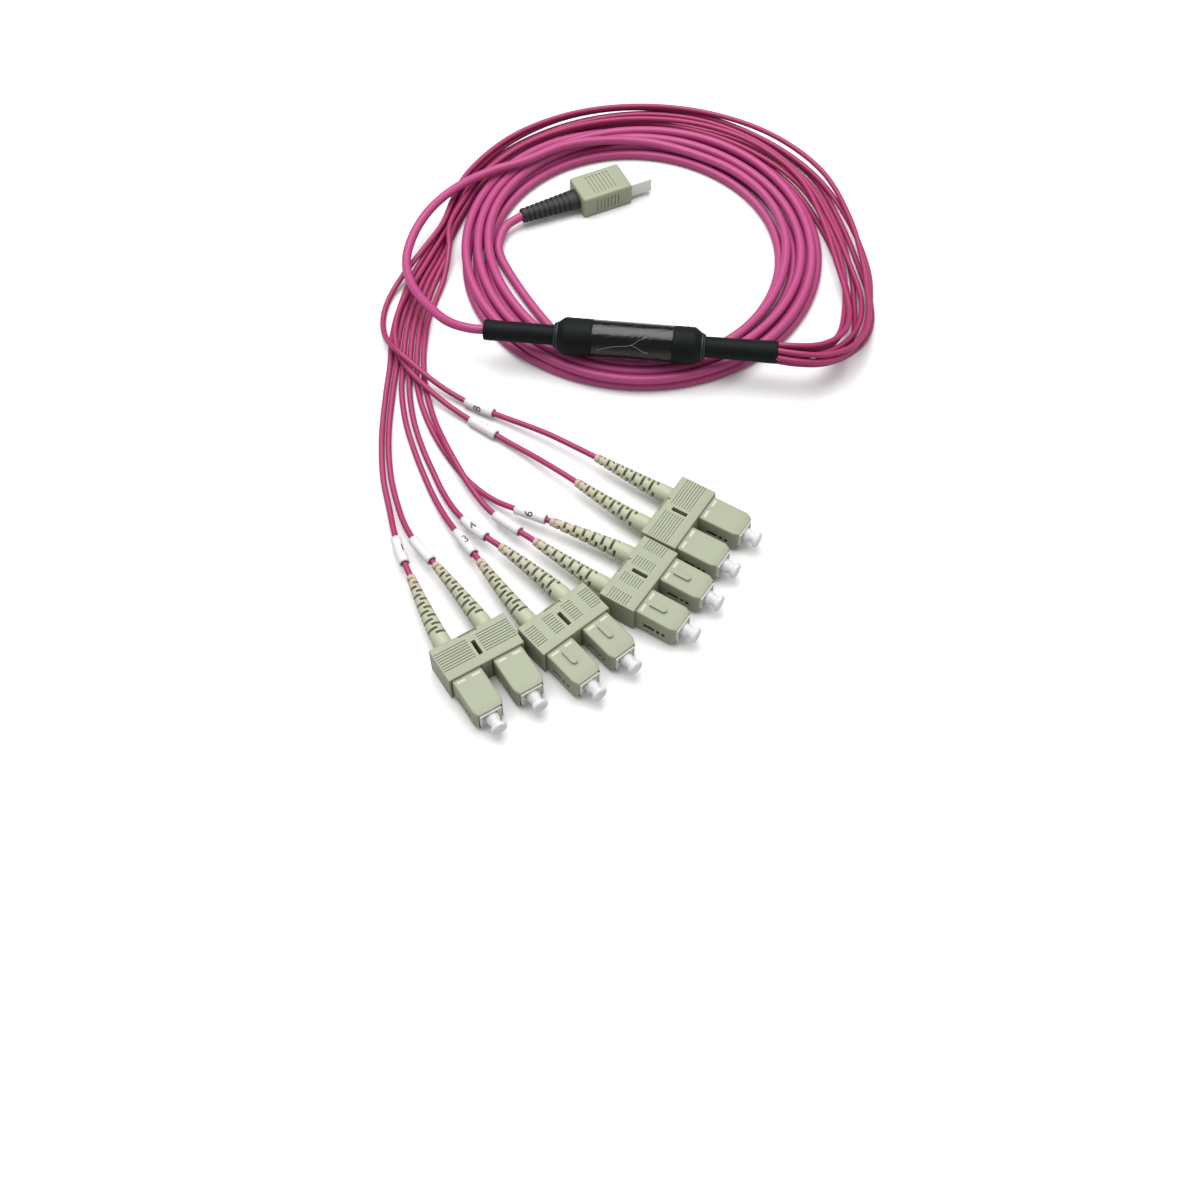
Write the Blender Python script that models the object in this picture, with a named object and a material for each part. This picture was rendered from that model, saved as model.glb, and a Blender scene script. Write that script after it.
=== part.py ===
"""Fibre breakout cable: one round trunk cable in a loose coil, a black breakout body,
eight thin legs, and eight push-pull connectors held in pairs by four duplex clips.

Lengths are in millimetres here and are turned into metres by MM.  +Z is up, the
floor is z = 0, and the connectors point towards -Y and +X.
"""

import math

import bmesh
import bpy
from mathutils import Vector

MM = 0.001
GAP = 0.3

# Connector, along its own axis: x = 0 is the back of the duplex clip, +x is the plug end.
CONNECTOR_PITCH = 12.7
GRIP_WIDTH = 9.0
GRIP_HEIGHT = 7.4
GRIP_WALL = 0.9
GRIP_BACK = 0.9
GRIP_FRONT = 24.0
GRIP_EDGE = 0.7
GRIP_NOSE_LENGTH = 1.5
GRIP_NOSE_INSET = 0.8
GRIP_NOSE_DROP = 0.3
FRAME_BACK = 4.0
FRAME_PROUD = 0.5
BORE_DEPTH = 8.0
FERRULE_DIAMETER = 2.5
FERRULE_SETBACK = 0.5
CAP_WALL = 0.4
CAP_REACH = 4.5
CAP_INSERTION = 6.0
CAP_FLANGE_DIAMETER = 4.8
CAP_FLANGE_THICKNESS = 1.0

# Duplex clip.
CLIP_DEPTH = 11.3
CLIP_WALL = 0.6
CLIP_BACK_WALL = 0.6
CLIP_BOOT_HOLE = 6.2
CLIP_SLOT_WIDTH = 1.3
CLIP_SLOT_START = 3.4
CLIP_SLOT_LENGTH = 5.0
CLIP_SLOT_DEPTH = 4.0
CLIP_NOTCH_WIDTH = 1.9
CLIP_NOTCH_LENGTH = 1.4
CLIP_NOTCH_DEPTH = 2.0

# Boot behind each connector.
BOOT_LENGTH = 27.0
BOOT_COLLAR = 2.0
BOOT_SMOOTH_LENGTH = 4.5
BOOT_SEGMENTS = 7
BOOT_GROOVE_WIDTH = 1.0
BOOT_GROOVE_DEPTH = 0.45
BOOT_BASE_DIAMETER = 5.4
BOOT_TIP_DIAMETER = 2.6

# How far each boot is bent sideways by its leg, in degrees from end to end.
BOOT_LEAN = {"1a": -7.0, "1b": 4.0, "2a": -5.0, "2b": 6.5,
             "3a": -4.5, "3b": 5.5, "4a": -6.0, "4b": -2.0}
BOOT_BEND = 1.35

# Cables.
TRUNK_DIAMETER = 3.0
LEG_DIAMETER = 1.8
MARKER_LENGTH = 10.0
MARKER_WALL = 0.35

# Breakout body, along its own axis from the trunk end.
SLEEVE_TRUNK_LENGTH = 21.7
SLEEVE_TRUNK_DIAMETER = 6.6
BODY_LENGTH = 46.7
BODY_DIAMETER = 11.6
BODY_SHOULDER = 1.6
BODY_SHOULDER_DROP = 1.6
WINDOW_START = 12.0
WINDOW_LENGTH = 24.7
WINDOW_WALL = 0.35
SLEEVE_LEG_LENGTH = 22.0
SLEEVE_LEG_DIAMETER = 7.0
SLEEVE_EDGE = 0.4
BODY_LIFT = 0.35
BREAKOUT_TRUNK_END = Vector((-36.0, 92.0, 0.0))
BREAKOUT_HEADING = math.radians(-6.0)

# Coil of the trunk, as one ring that the turns fill.
COIL_CENTRE = Vector((13.4, 137.0, 0.0))
COIL_OUTER_RADIUS = 60.5
COIL_INNER_RADIUS = 44.6
COIL_HEIGHT = 6.3
COIL_EDGE = 1.4

# Far-end plug of the trunk, lying inside the coil.
PLUG_WIDTH = 12.4
PLUG_HEIGHT = 7.8
PLUG_LENGTH = 26.0
PLUG_NOSE_WIDTH = 9.6
PLUG_NOSE_HEIGHT = 5.2
PLUG_NOSE_LENGTH = 8.0
PLUG_EDGE = 1.0
PLUG_BOOT_LENGTH = 20.0
PLUG_BOOT_BASE_WIDTH = 8.0
PLUG_BOOT_BASE_HEIGHT = 5.6
PLUG_BOOT_TIP_DIAMETER = 5.0
PLUG_BOOT_TIP = Vector((-26.3, 151.5, 0.0))
PLUG_HEADING = math.radians(25.0)

# The origin is under the middle of the breakout and the connectors.
ORIGIN = Vector((-0.06, 24.94, 0.0))

# Back of the first pair's clip on the floor.  Each later pair lies beside the one before
# it: the step to its clip in clip widths, and the way that it points in degrees.
FIRST_PAIR = Vector((-36.6, -16.2, 0.0))
PAIR_STEP_RATIOS = {"1": (0.0, 0.0, -57.9), "2": (0.9745, 0.370, -49.5),
                    "3": (0.847, 0.583, -33.1), "4": (0.498, 0.902, -32.0)}

# Middle line of the bundle of legs: out of the breakout, round the coil, to the left.
LEG_PITCH = 2.1
BUNDLE_REACH = 64.6
BUNDLE_START = [(67.2, 83.4, 11.0), (73.3, 88.2, 8.8), (78.0, 95.6, 6.2),
                (80.8, 105.0, 4.1), (81.6, 116.0, 3.2), (80.9, 126.5, 3.05)]
BUNDLE_ARC_DEGREES = (10, 150, 20)
BUNDLE_END = [(-47.6, 158.0, 3.05), (-51.5, 146.0, 3.05)]
BUNDLE_FLOOR = 3.05

# Where each leg lies in the bundle: its turn round the sleeve's end, and then its
# column (outwards) and row (up) in the stack on the floor, in leg pitches.
BUNDLE_SEATS = {
    "1a": (12.9, 1.0, 0.0),
    "1b": (-38.6, 1.0, -1.0),
    "2a": (-90.0, 0.0, -1.0),
    "2b": (218.6, -1.0, -1.0),
    "3a": (115.7, -0.6, 1.0),
    "3b": (167.1, -1.0, 0.0),
    "4a": (None, 0.0, 0.0),
    "4b": (64.3, 0.6, 1.0),
}
BUNDLE_ROUND_RADIUS = 2.45
BUNDLE_MORPH_POINTS = 5

# Each leg's own way from the bundle to its connector.
LEG_ROUTES = {
    "1a": [(-57.8, 135.0, 2.8), (-62.3, 124.5, 0.95), (-64.4, 115.0, 0.95), (-65.9, 106.0, 0.95),
           (-66.4, 97.0, 0.95), (-66.2, 88.0, 0.95), (-66.6, 75.0, 0.95), (-66.5, 58.0, 0.95),
           (-64.9, 43.0, 0.95), (-62.2, 31.5, 1.3), (-60.0, 22.4, 2.5)],
    "1b": [(-56.6, 135.0, 0.95), (-60.2, 124.5, 0.95), (-62.3, 115.0, 0.95), (-63.8, 106.0, 0.95),
           (-64.3, 97.0, 0.95), (-64.1, 88.0, 0.95), (-64.5, 75.0, 0.95), (-64.4, 58.0, 0.95),
           (-62.7, 44.0, 0.95), (-60.0, 33.4, 1.3), (-56.9, 24.4, 2.5)],
    "2a": [(-54.5, 135.0, 0.95), (-58.1, 124.5, 0.95), (-60.2, 115.0, 0.95), (-61.7, 106.0, 0.95),
           (-62.2, 97.0, 0.95), (-62.0, 88.0, 0.95), (-61.8, 77.3, 0.95), (-59.6, 64.3, 0.95),
           (-56.0, 52.6, 0.95), (-52.2, 42.6, 0.95), (-48.8, 34.6, 1.3), (-44.6, 26.2, 2.5)],
    "2b": [(-52.4, 135.0, 0.95), (-56.0, 124.5, 0.95), (-58.1, 115.0, 0.95), (-59.6, 106.0, 0.95),
           (-60.1, 97.0, 0.95), (-59.9, 88.0, 0.95), (-59.4, 77.5, 0.95), (-57.2, 65.0, 0.95),
           (-53.7, 54.0, 0.95), (-50.0, 45.0, 0.95), (-46.4, 36.8, 1.3), (-41.6, 28.4, 2.5)],
    "3a": [(-49.9, 135.0, 4.6), (-51.3, 124.5, 1.5), (-53.6, 115.0, 0.95), (-55.4, 106.0, 0.95),
           (-55.9, 97.0, 0.95), (-55.6, 88.0, 0.95), (-54.2, 77.3, 0.95), (-50.9, 65.4, 1.3),
           (-46.8, 54.6, 2.95), (-42.2, 45.2, 2.95), (-38.0, 37.4, 2.95), (-32.8, 29.8, 3.1)],
    "3b": [(-50.5, 135.0, 2.3), (-53.9, 124.5, 0.95), (-56.0, 115.0, 0.95), (-57.5, 106.0, 0.95),
           (-58.0, 97.0, 0.95), (-57.8, 88.0, 0.95), (-57.0, 79.0, 0.95), (-54.6, 69.6, 0.95),
           (-50.4, 59.2, 0.95), (-44.6, 49.0, 0.95), (-38.4, 40.6, 1.1), (-31.2, 33.6, 2.3)],
    "4a": [(-55.6, 135.0, 2.9), (-59.6, 124.5, 2.9), (-63.3, 115.0, 2.95), (-65.2, 106.0, 2.95),
           (-65.2, 98.0, 2.95), (-63.6, 91.2, 3.0), (-60.8, 85.4, 3.05), (-57.2, 80.4, 3.05),
           (-52.9, 75.6, 3.05), (-47.2, 70.4, 2.3), (-41.5, 66.0, 1.7), (-34.9, 61.2, 1.65),
           (-27.8, 56.0, 1.65), (-20.9, 50.6, 2.5)],
    "4b": [(-58.4, 135.0, 4.7), (-65.0, 124.5, 2.4), (-68.9, 115.5, 1.0), (-69.9, 106.8, 1.0),
           (-68.4, 98.6, 2.4), (-65.4, 92.2, 4.9), (-61.6, 87.6, 5.4), (-57.2, 83.6, 4.5),
           (-52.4, 79.6, 3.3), (-45.6, 74.9, 1.9), (-38.4, 70.4, 1.65), (-29.8, 65.6, 1.65),
           (-22.4, 61.8, 1.8), (-15.4, 58.4, 2.7)],
}
LEG_RUN_IN_DROP = 0.6
LEG_RUN_IN = 9.0
LEG_RUN_OUT = 5.0
TRUNK_RUN_OUT = 6.0

# Back end of each marker sleeve, measured along the leg from the boot's tip.
MARKER_SETBACK = {"1a": 15.0, "1b": 11.5, "2a": 13.0, "2b": 15.5,
                  "3a": 15.5, "3b": 11.5, "4a": 42.0, "4b": 47.0}

# The trunk's way from the breakout over the legs and on to the coil.
TRUNK_ROUTE = [(-47.2, 96.6, 10.9), (-54.6, 105.6, 9.0), (-60.6, 116.4, 7.2),
               (-63.2, 127.2, 6.9), (-61.6, 138.4, 7.7), (-56.4, 149.8, 8.8), (-47.6, 160.4, 9.0),
               (-37.0, 168.4, 8.4), (-26.0, 173.6, 8.2)]

TUBE_STEP = 9.0
ROUND_SIDES = 20
SMALL_SIDES = 12
COIL_STATIONS = 40

BEIGE = (0.52, 0.55, 0.36, 1.0)
PINK = (0.68, 0.10, 0.32, 1.0)
LEG_PINK = (0.56, 0.04, 0.17, 1.0)
BLACK = (0.02, 0.022, 0.022, 1.0)
OFF_WHITE = (0.80, 0.79, 0.76, 1.0)
CLEAR = (0.85, 0.87, 0.88, 1.0)


def clear_scene():
    for old in list(bpy.data.objects):
        bpy.data.objects.remove(old, do_unlink=True)


def material(name, colour, roughness):
    made = bpy.data.materials.new(name)
    made.use_nodes = True
    shader = made.node_tree.nodes["Principled BSDF"]
    shader.inputs["Base Color"].default_value = colour
    shader.inputs["Roughness"].default_value = roughness
    shader.inputs["Metallic"].default_value = 0.0
    return made


def holder(name, place, heading, parent=None):
    """An empty that carries a group of pieces; place is in millimetres."""
    empty = bpy.data.objects.new(name, None)
    bpy.context.scene.collection.objects.link(empty)
    empty.location = place * MM
    empty.rotation_euler = (0.0, 0.0, heading)
    empty.parent = parent
    return empty


def skin(name, rings, parent, finish, looped=False, smooth=False, offset=(0.0, 0.0, 0.0)):
    """A closed body over rings of points; looped joins the last ring to the first."""
    bm = bmesh.new()
    rows = [[bm.verts.new(Vector(point) * MM) for point in ring] for ring in rings]
    pairs = list(zip(rows, rows[1:]))
    if looped:
        pairs.append((rows[-1], rows[0]))
    for first, second in pairs:
        count = len(first)
        for i in range(count):
            j = (i + 1) % count
            bm.faces.new((first[i], first[j], second[j], second[i]))
    if not looped:
        bm.faces.new(rows[0])
        bm.faces.new(rows[-1])
    bmesh.ops.recalc_face_normals(bm, faces=bm.faces)
    mesh = bpy.data.meshes.new(name)
    bm.to_mesh(mesh)
    bm.free()
    return put(name, mesh, parent, finish, smooth, offset)


def put(name, data, parent, finish, smooth=False, offset=(0.0, 0.0, 0.0)):
    made = bpy.data.objects.new(name, data)
    bpy.context.scene.collection.objects.link(made)
    made.parent = parent
    made.location = Vector(offset) * MM
    data.materials.append(finish)
    if smooth:
        data.shade_smooth()
    return made


def box_ring(x, width, height, edge, z):
    """A rectangle across the x axis with its corners cut by edge."""
    w, h = width / 2, height / 2
    corners = [(w, h - edge), (w - edge, h), (edge - w, h), (-w, h - edge),
               (-w, edge - h), (edge - w, -h), (w - edge, -h), (w, edge - h)]
    return [(x, y, z + up) for y, up in corners]


def round_ring(x, radius, z, sides=SMALL_SIDES):
    turn = 2 * math.pi / sides
    return [(x, radius * math.cos(i * turn), z + radius * math.sin(i * turn)) for i in range(sides)]


def plain_ring(x, width, height, z):
    """A rectangle across the x axis with two points between its corners on each side."""
    thirds = [-1.0, -1 / 3, 1 / 3]
    unit = [(1.0, t) for t in thirds] + [(-t, 1.0) for t in thirds]
    unit += [(-1.0, -t) for t in thirds] + [(t, -1.0) for t in thirds]
    return [(x, a * width / 2, z + b * height / 2) for a, b in unit]


def matched_ring(x, radius, width, height, z):
    """A circle whose points lie towards those of plain_ring."""
    ring = []
    for _, y, up in plain_ring(x, 2.0, 2.0, 0.0):
        reach = math.hypot(y, up)
        ring.append((x, radius * y / reach, z + radius * up / reach))
    return ring


def smooth_line(points, step):
    """Points read every step along one smooth curve through the given points."""
    chain = [Vector(p) for p in points]
    chain = [2 * chain[0] - chain[1]] + chain + [2 * chain[-1] - chain[-2]]
    fine = []
    for p0, p1, p2, p3 in zip(chain, chain[1:], chain[2:], chain[3:]):
        knots = [0.0]
        for a, b in ((p0, p1), (p1, p2), (p2, p3)):
            knots.append(knots[-1] + max((b - a).length, 1e-6) ** 0.5)
        t0, t1, t2, t3 = knots
        for i in range(24):
            t = t1 + (t2 - t1) * i / 24
            a1 = p0 * ((t1 - t) / (t1 - t0)) + p1 * ((t - t0) / (t1 - t0))
            a2 = p1 * ((t2 - t) / (t2 - t1)) + p2 * ((t - t1) / (t2 - t1))
            a3 = p2 * ((t3 - t) / (t3 - t2)) + p3 * ((t - t2) / (t3 - t2))
            b1 = a1 * ((t2 - t) / (t2 - t0)) + a2 * ((t - t0) / (t2 - t0))
            b2 = a2 * ((t3 - t) / (t3 - t1)) + a3 * ((t - t1) / (t3 - t1))
            fine.append(b1 * ((t2 - t) / (t2 - t1)) + b2 * ((t - t1) / (t2 - t1)))
    fine.append(chain[-2])
    return spread(fine, step)


def spread(fine, step):
    """The same line with its points evenly spaced, no further apart than step."""
    runs = [0.0]
    for a, b in zip(fine, fine[1:]):
        runs.append(runs[-1] + (b - a).length)
    count = max(2, math.ceil(runs[-1] / step) + 1)
    even = []
    k = 0
    for i in range(count):
        want = runs[-1] * i / (count - 1)
        while k < len(runs) - 2 and runs[k + 1] < want:
            k += 1
        span = max(runs[k + 1] - runs[k], 1e-9)
        even.append(fine[k].lerp(fine[k + 1], min(1.0, (want - runs[k]) / span)))
    return even


def tube(name, line, diameter, parent, finish):
    curve = bpy.data.curves.new(name, "CURVE")
    curve.dimensions = "3D"
    curve.bevel_depth = diameter / 2 * MM
    curve.bevel_resolution = 2
    curve.use_fill_caps = True
    spline = curve.splines.new("POLY")
    spline.points.add(len(line) - 1)
    for point, place in zip(spline.points, line):
        point.co = (place * MM).to_4d()
    return put(name, curve, parent, finish)


def shell_on_line(name, line, inner, outer, parent, finish):
    """A thin sleeve round a stretch of a line."""
    wide = []
    narrow = []
    for i, place in enumerate(line):
        ahead = line[min(i + 1, len(line) - 1)]
        behind = line[max(i - 1, 0)]
        along = (ahead - behind).normalized()
        side = along.cross(Vector((0.0, 0.0, 1.0))).normalized()
        up = side.cross(along)
        turn = 2 * math.pi / SMALL_SIDES
        spokes = [side * math.cos(k * turn) + up * math.sin(k * turn) for k in range(SMALL_SIDES)]
        wide.append([place + spoke * outer for spoke in spokes])
        narrow.append([place + spoke * inner for spoke in spokes])
    return skin(name, wide + narrow[::-1], parent, finish, looped=True, smooth=True)


def grid_block(name, xs, ys, zs, hollow, parent, finish):
    """A body of blocks between the given x, y and z values; hollow says which are empty."""
    def solid(i, j, k):
        if not (0 <= i < len(xs) - 1 and 0 <= j < len(ys) - 1 and 0 <= k < len(zs) - 1):
            return False
        return not hollow((xs[i] + xs[i + 1]) / 2, (ys[j] + ys[j + 1]) / 2, (zs[k] + zs[k + 1]) / 2)

    bm = bmesh.new()
    corners = {}

    def corner(i, j, k):
        if (i, j, k) not in corners:
            corners[i, j, k] = bm.verts.new(Vector((xs[i], ys[j], zs[k])) * MM)
        return corners[i, j, k]

    sides = [((1, 0, 0), ((1, 0, 0), (1, 1, 0), (1, 1, 1), (1, 0, 1))),
             ((-1, 0, 0), ((0, 0, 0), (0, 0, 1), (0, 1, 1), (0, 1, 0))),
             ((0, 1, 0), ((0, 1, 0), (0, 1, 1), (1, 1, 1), (1, 1, 0))),
             ((0, -1, 0), ((0, 0, 0), (1, 0, 0), (1, 0, 1), (0, 0, 1))),
             ((0, 0, 1), ((0, 0, 1), (1, 0, 1), (1, 1, 1), (0, 1, 1))),
             ((0, 0, -1), ((0, 0, 0), (0, 1, 0), (1, 1, 0), (1, 0, 0)))]
    for i in range(len(xs) - 1):
        for j in range(len(ys) - 1):
            for k in range(len(zs) - 1):
                if not solid(i, j, k):
                    continue
                for (a, b, c), quad in sides:
                    if not solid(i + a, j + b, k + c):
                        bm.faces.new([corner(i + p, j + q, k + r) for p, q, r in quad])
    mesh = bpy.data.meshes.new(name)
    bm.to_mesh(mesh)
    bm.free()
    return put(name, mesh, parent, finish)


CLIP_HEIGHT = GRIP_HEIGHT + 2 * (GAP + CLIP_WALL)
CLIP_WIDTH = CONNECTOR_PITCH + GRIP_WIDTH + 2 * (GAP + CLIP_WALL)
CONNECTOR_Z = CLIP_HEIGHT / 2
BORE_RADIUS = FERRULE_DIAMETER / 2 + GAP + CAP_WALL + GAP
FRAME_WIDTH = GRIP_WIDTH - 2 * (GRIP_WALL + GAP)
FRAME_HEIGHT = GRIP_HEIGHT - 2 * (GRIP_WALL + GAP)
FRAME_FRONT = GRIP_FRONT + FRAME_PROUD
BOOT_TIP_X = -BOOT_LENGTH
BOOT_FRONT = FRAME_BACK - GAP


def pair_places():
    """Each pair's place on the floor and its heading."""
    found = {}
    place = FIRST_PAIR
    for pair, (across, along, degrees) in PAIR_STEP_RATIOS.items():
        place = place + Vector((across, along, 0.0)) * CLIP_WIDTH
        found[pair] = (place, math.radians(degrees))
    return found


PAIRS = pair_places()


def clip(pair, parent, finish):
    half_web = (CONNECTOR_PITCH - GRIP_WIDTH) / 2 - GAP
    half_hole = half_web + GRIP_WIDTH + 2 * GAP
    slot = CLIP_SLOT_WIDTH / 2
    notch = CLIP_NOTCH_WIDTH / 2
    slot_end = CLIP_SLOT_START + CLIP_SLOT_LENGTH
    boot_hole = CLIP_BOOT_HOLE / 2
    axis = CONNECTOR_PITCH / 2
    xs = [0.0, CLIP_BACK_WALL, CLIP_NOTCH_LENGTH, CLIP_SLOT_START, slot_end, CLIP_DEPTH]
    reach = [slot, notch, half_web, axis - boot_hole, axis + boot_hole, half_hole, CLIP_WIDTH / 2]
    ys = [-y for y in reversed(reach)] + reach
    slot_floor = CLIP_HEIGHT - CLIP_SLOT_DEPTH
    notch_floor = CLIP_HEIGHT - CLIP_NOTCH_DEPTH
    zs = sorted({0.0, CLIP_WALL, CONNECTOR_Z - boot_hole, slot_floor, notch_floor,
                 CONNECTOR_Z + boot_hole, CLIP_HEIGHT - CLIP_WALL, CLIP_HEIGHT})

    def hollow(x, y, z):
        in_hole = half_web < abs(y) < half_hole and CLIP_WALL < z < CLIP_HEIGHT - CLIP_WALL
        if x < CLIP_BACK_WALL:
            in_hole = abs(abs(y) - axis) < boot_hole and abs(z - CONNECTOR_Z) < boot_hole
        in_slot = abs(y) < slot and CLIP_SLOT_START < x < slot_end and z > slot_floor
        in_notch = abs(y) < notch and x < CLIP_NOTCH_LENGTH and z > notch_floor
        return in_hole or in_slot or in_notch

    grid_block("clip_" + pair, xs, ys, zs, hollow, parent, finish)


def grip(tag, parent, side, finish):
    z = CONNECTOR_Z
    inner_width = GRIP_WIDTH - 2 * GRIP_WALL
    inner_height = GRIP_HEIGHT - 2 * GRIP_WALL
    nose_width = GRIP_WIDTH - 2 * GRIP_NOSE_INSET
    nose_height = GRIP_HEIGHT - 2 * GRIP_NOSE_DROP
    rings = [box_ring(GRIP_BACK, GRIP_WIDTH, GRIP_HEIGHT, GRIP_EDGE, z),
             box_ring(GRIP_FRONT - GRIP_NOSE_LENGTH, GRIP_WIDTH, GRIP_HEIGHT, GRIP_EDGE, z),
             box_ring(GRIP_FRONT, nose_width, nose_height, GRIP_EDGE, z),
             box_ring(GRIP_FRONT, inner_width, inner_height, GAP, z),
             box_ring(GRIP_BACK, inner_width, inner_height, GAP, z)]
    skin("grip_" + tag, rings, parent, finish, looped=True, offset=(0.0, side, 0.0))


def frame(tag, parent, side, finish):
    """The inner frame, with a bore in its front and the ferrule standing in it."""
    z = CONNECTOR_Z
    floor_x = FRAME_FRONT - BORE_DEPTH
    pin = FERRULE_DIAMETER / 2
    rings = [plain_ring(FRAME_BACK, FRAME_WIDTH, FRAME_HEIGHT, z),
             plain_ring(FRAME_FRONT, FRAME_WIDTH, FRAME_HEIGHT, z),
             matched_ring(FRAME_FRONT, BORE_RADIUS, FRAME_WIDTH, FRAME_HEIGHT, z),
             matched_ring(floor_x, BORE_RADIUS, FRAME_WIDTH, FRAME_HEIGHT, z),
             matched_ring(floor_x, pin, FRAME_WIDTH, FRAME_HEIGHT, z),
             matched_ring(FRAME_FRONT - FERRULE_SETBACK, pin, FRAME_WIDTH, FRAME_HEIGHT, z)]
    skin("frame_" + tag, rings, parent, finish, offset=(0.0, side, 0.0))


def dust_cap(tag, parent, side, finish):
    z = CONNECTOR_Z
    bore = FERRULE_DIAMETER / 2 + GAP
    stem = bore + CAP_WALL
    flange = CAP_FLANGE_DIAMETER / 2
    back = FRAME_FRONT - CAP_INSERTION
    front = FRAME_FRONT + CAP_REACH
    shoulder = front - CAP_FLANGE_THICKNESS
    rings = [round_ring(FRAME_FRONT + GAP, bore, z), round_ring(back, bore, z),
             round_ring(back, stem, z), round_ring(shoulder, stem, z),
             round_ring(shoulder, flange, z), round_ring(front, flange, z)]
    skin("dust_cap_" + tag, rings, parent, finish, offset=(0.0, side, 0.0))


def boot_sway(tag, x):
    """How far the boot's middle line has moved sideways at x, and its slope there."""
    run = BOOT_LENGTH - BOOT_COLLAR
    behind = max(0.0, -BOOT_COLLAR - x)
    lean = math.tan(math.radians(BOOT_LEAN[tag]))
    share = behind / run
    return -lean * run * share ** BOOT_BEND, lean * BOOT_BEND * share ** (BOOT_BEND - 1)


def boot_ring(tag, x, groove):
    """A ring of the boot's surface at x, square to its bent middle line."""
    share = max(0.0, -BOOT_COLLAR - x) / (BOOT_LENGTH - BOOT_COLLAR)
    radius = (BOOT_BASE_DIAMETER + share * (BOOT_TIP_DIAMETER - BOOT_BASE_DIAMETER)) / 2 - groove
    sway, slope = boot_sway(tag, x)
    return [(x - slope * y, y + sway, up) for _, y, up in round_ring(x, radius, CONNECTOR_Z)]


def boot(tag, parent, side, finish):
    """A smooth collar, then segments with a groove behind each one but the last."""
    rings = [boot_ring(tag, BOOT_FRONT, 0.0), boot_ring(tag, -BOOT_COLLAR, 0.0)]
    start = -BOOT_SMOOTH_LENGTH
    pitch = (BOOT_LENGTH - BOOT_SMOOTH_LENGTH) / BOOT_SEGMENTS
    for i in range(BOOT_SEGMENTS):
        front = start - i * pitch
        back = front - BOOT_GROOVE_WIDTH
        rings += [boot_ring(tag, front, 0.0), boot_ring(tag, front, BOOT_GROOVE_DEPTH),
                  boot_ring(tag, back, BOOT_GROOVE_DEPTH), boot_ring(tag, back, 0.0)]
    rings.append(boot_ring(tag, BOOT_TIP_X, 0.0))
    skin("boot_" + tag, rings, parent, finish, offset=(0.0, side, 0.0))


def connectors(root, finishes):
    sides = {"a": -CONNECTOR_PITCH / 2, "b": CONNECTOR_PITCH / 2}
    for pair, (place, heading) in PAIRS.items():
        carrier = holder("pair_" + pair, place, heading, root)
        clip(pair, carrier, finishes["beige"])
        for letter, side in sides.items():
            tag = pair + letter
            grip(tag, carrier, side, finishes["beige"])
            frame(tag, carrier, side, finishes["frame"])
            boot(tag, carrier, side, finishes["boot"])
            dust_cap(tag, carrier, side, finishes["cap"])


def boot_tip(tag):
    """Where a leg meets its boot, and the way that the boot points."""
    place, heading = PAIRS[tag[0]]
    ahead = Vector((math.cos(heading), math.sin(heading), 0.0))
    left = Vector((-ahead.y, ahead.x, 0.0))
    side = CONNECTOR_PITCH / 2 * (1 if tag[1] == "b" else -1)
    sway, slope = boot_sway(tag, BOOT_TIP_X)
    into = (ahead + left * slope).normalized()
    tip = place + left * (side + sway) + ahead * BOOT_TIP_X - into * GAP
    return tip + Vector((0.0, 0.0, CONNECTOR_Z)), into


BREAKOUT_Z = COIL_HEIGHT + BODY_LIFT + BODY_DIAMETER / 2
BREAKOUT_LENGTH = SLEEVE_TRUNK_LENGTH + BODY_LENGTH + SLEEVE_LEG_LENGTH + 2 * GAP


def breakout_point(along):
    ahead = Vector((math.cos(BREAKOUT_HEADING), math.sin(BREAKOUT_HEADING), 0.0))
    return BREAKOUT_TRUNK_END + ahead * along + Vector((0.0, 0.0, BREAKOUT_Z))


def breakout(root, finishes):
    carrier = holder("breakout", BREAKOUT_TRUNK_END, BREAKOUT_HEADING, root)
    z = BREAKOUT_Z
    sleeves = [("sleeve_trunk_side", 0.0, SLEEVE_TRUNK_LENGTH, SLEEVE_TRUNK_DIAMETER),
               ("sleeve_leg_side", SLEEVE_TRUNK_LENGTH + BODY_LENGTH + 2 * GAP,
                SLEEVE_LEG_LENGTH, SLEEVE_LEG_DIAMETER)]
    for name, start, length, diameter in sleeves:
        radius = diameter / 2
        rings = [round_ring(start, radius - SLEEVE_EDGE, z, ROUND_SIDES),
                 round_ring(start + SLEEVE_EDGE, radius, z, ROUND_SIDES),
                 round_ring(start + length - SLEEVE_EDGE, radius, z, ROUND_SIDES),
                 round_ring(start + length, radius - SLEEVE_EDGE, z, ROUND_SIDES)]
        skin(name, rings, carrier, finishes["black"], smooth=True)
    start = SLEEVE_TRUNK_LENGTH + GAP
    end = start + BODY_LENGTH
    radius = BODY_DIAMETER / 2
    narrow = radius - BODY_SHOULDER_DROP
    window_back = start + WINDOW_START
    window_front = window_back + WINDOW_LENGTH
    recess = radius - WINDOW_WALL - GAP
    profile = [(start, narrow), (start + BODY_SHOULDER, radius), (window_back - GAP, radius),
               (window_back - GAP, recess), (window_front + GAP, recess),
               (window_front + GAP, radius), (end - BODY_SHOULDER, radius), (end, narrow)]
    rings = [round_ring(x, r, z, ROUND_SIDES) for x, r in profile]
    skin("breakout_body", rings, carrier, finishes["black"])
    wrap = [(window_back, radius), (window_front, radius),
            (window_front, radius - WINDOW_WALL), (window_back, radius - WINDOW_WALL)]
    rings = [round_ring(x, r, z, ROUND_SIDES) for x, r in wrap]
    skin("window_wrap", rings, carrier, finishes["clear"], looped=True)


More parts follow.
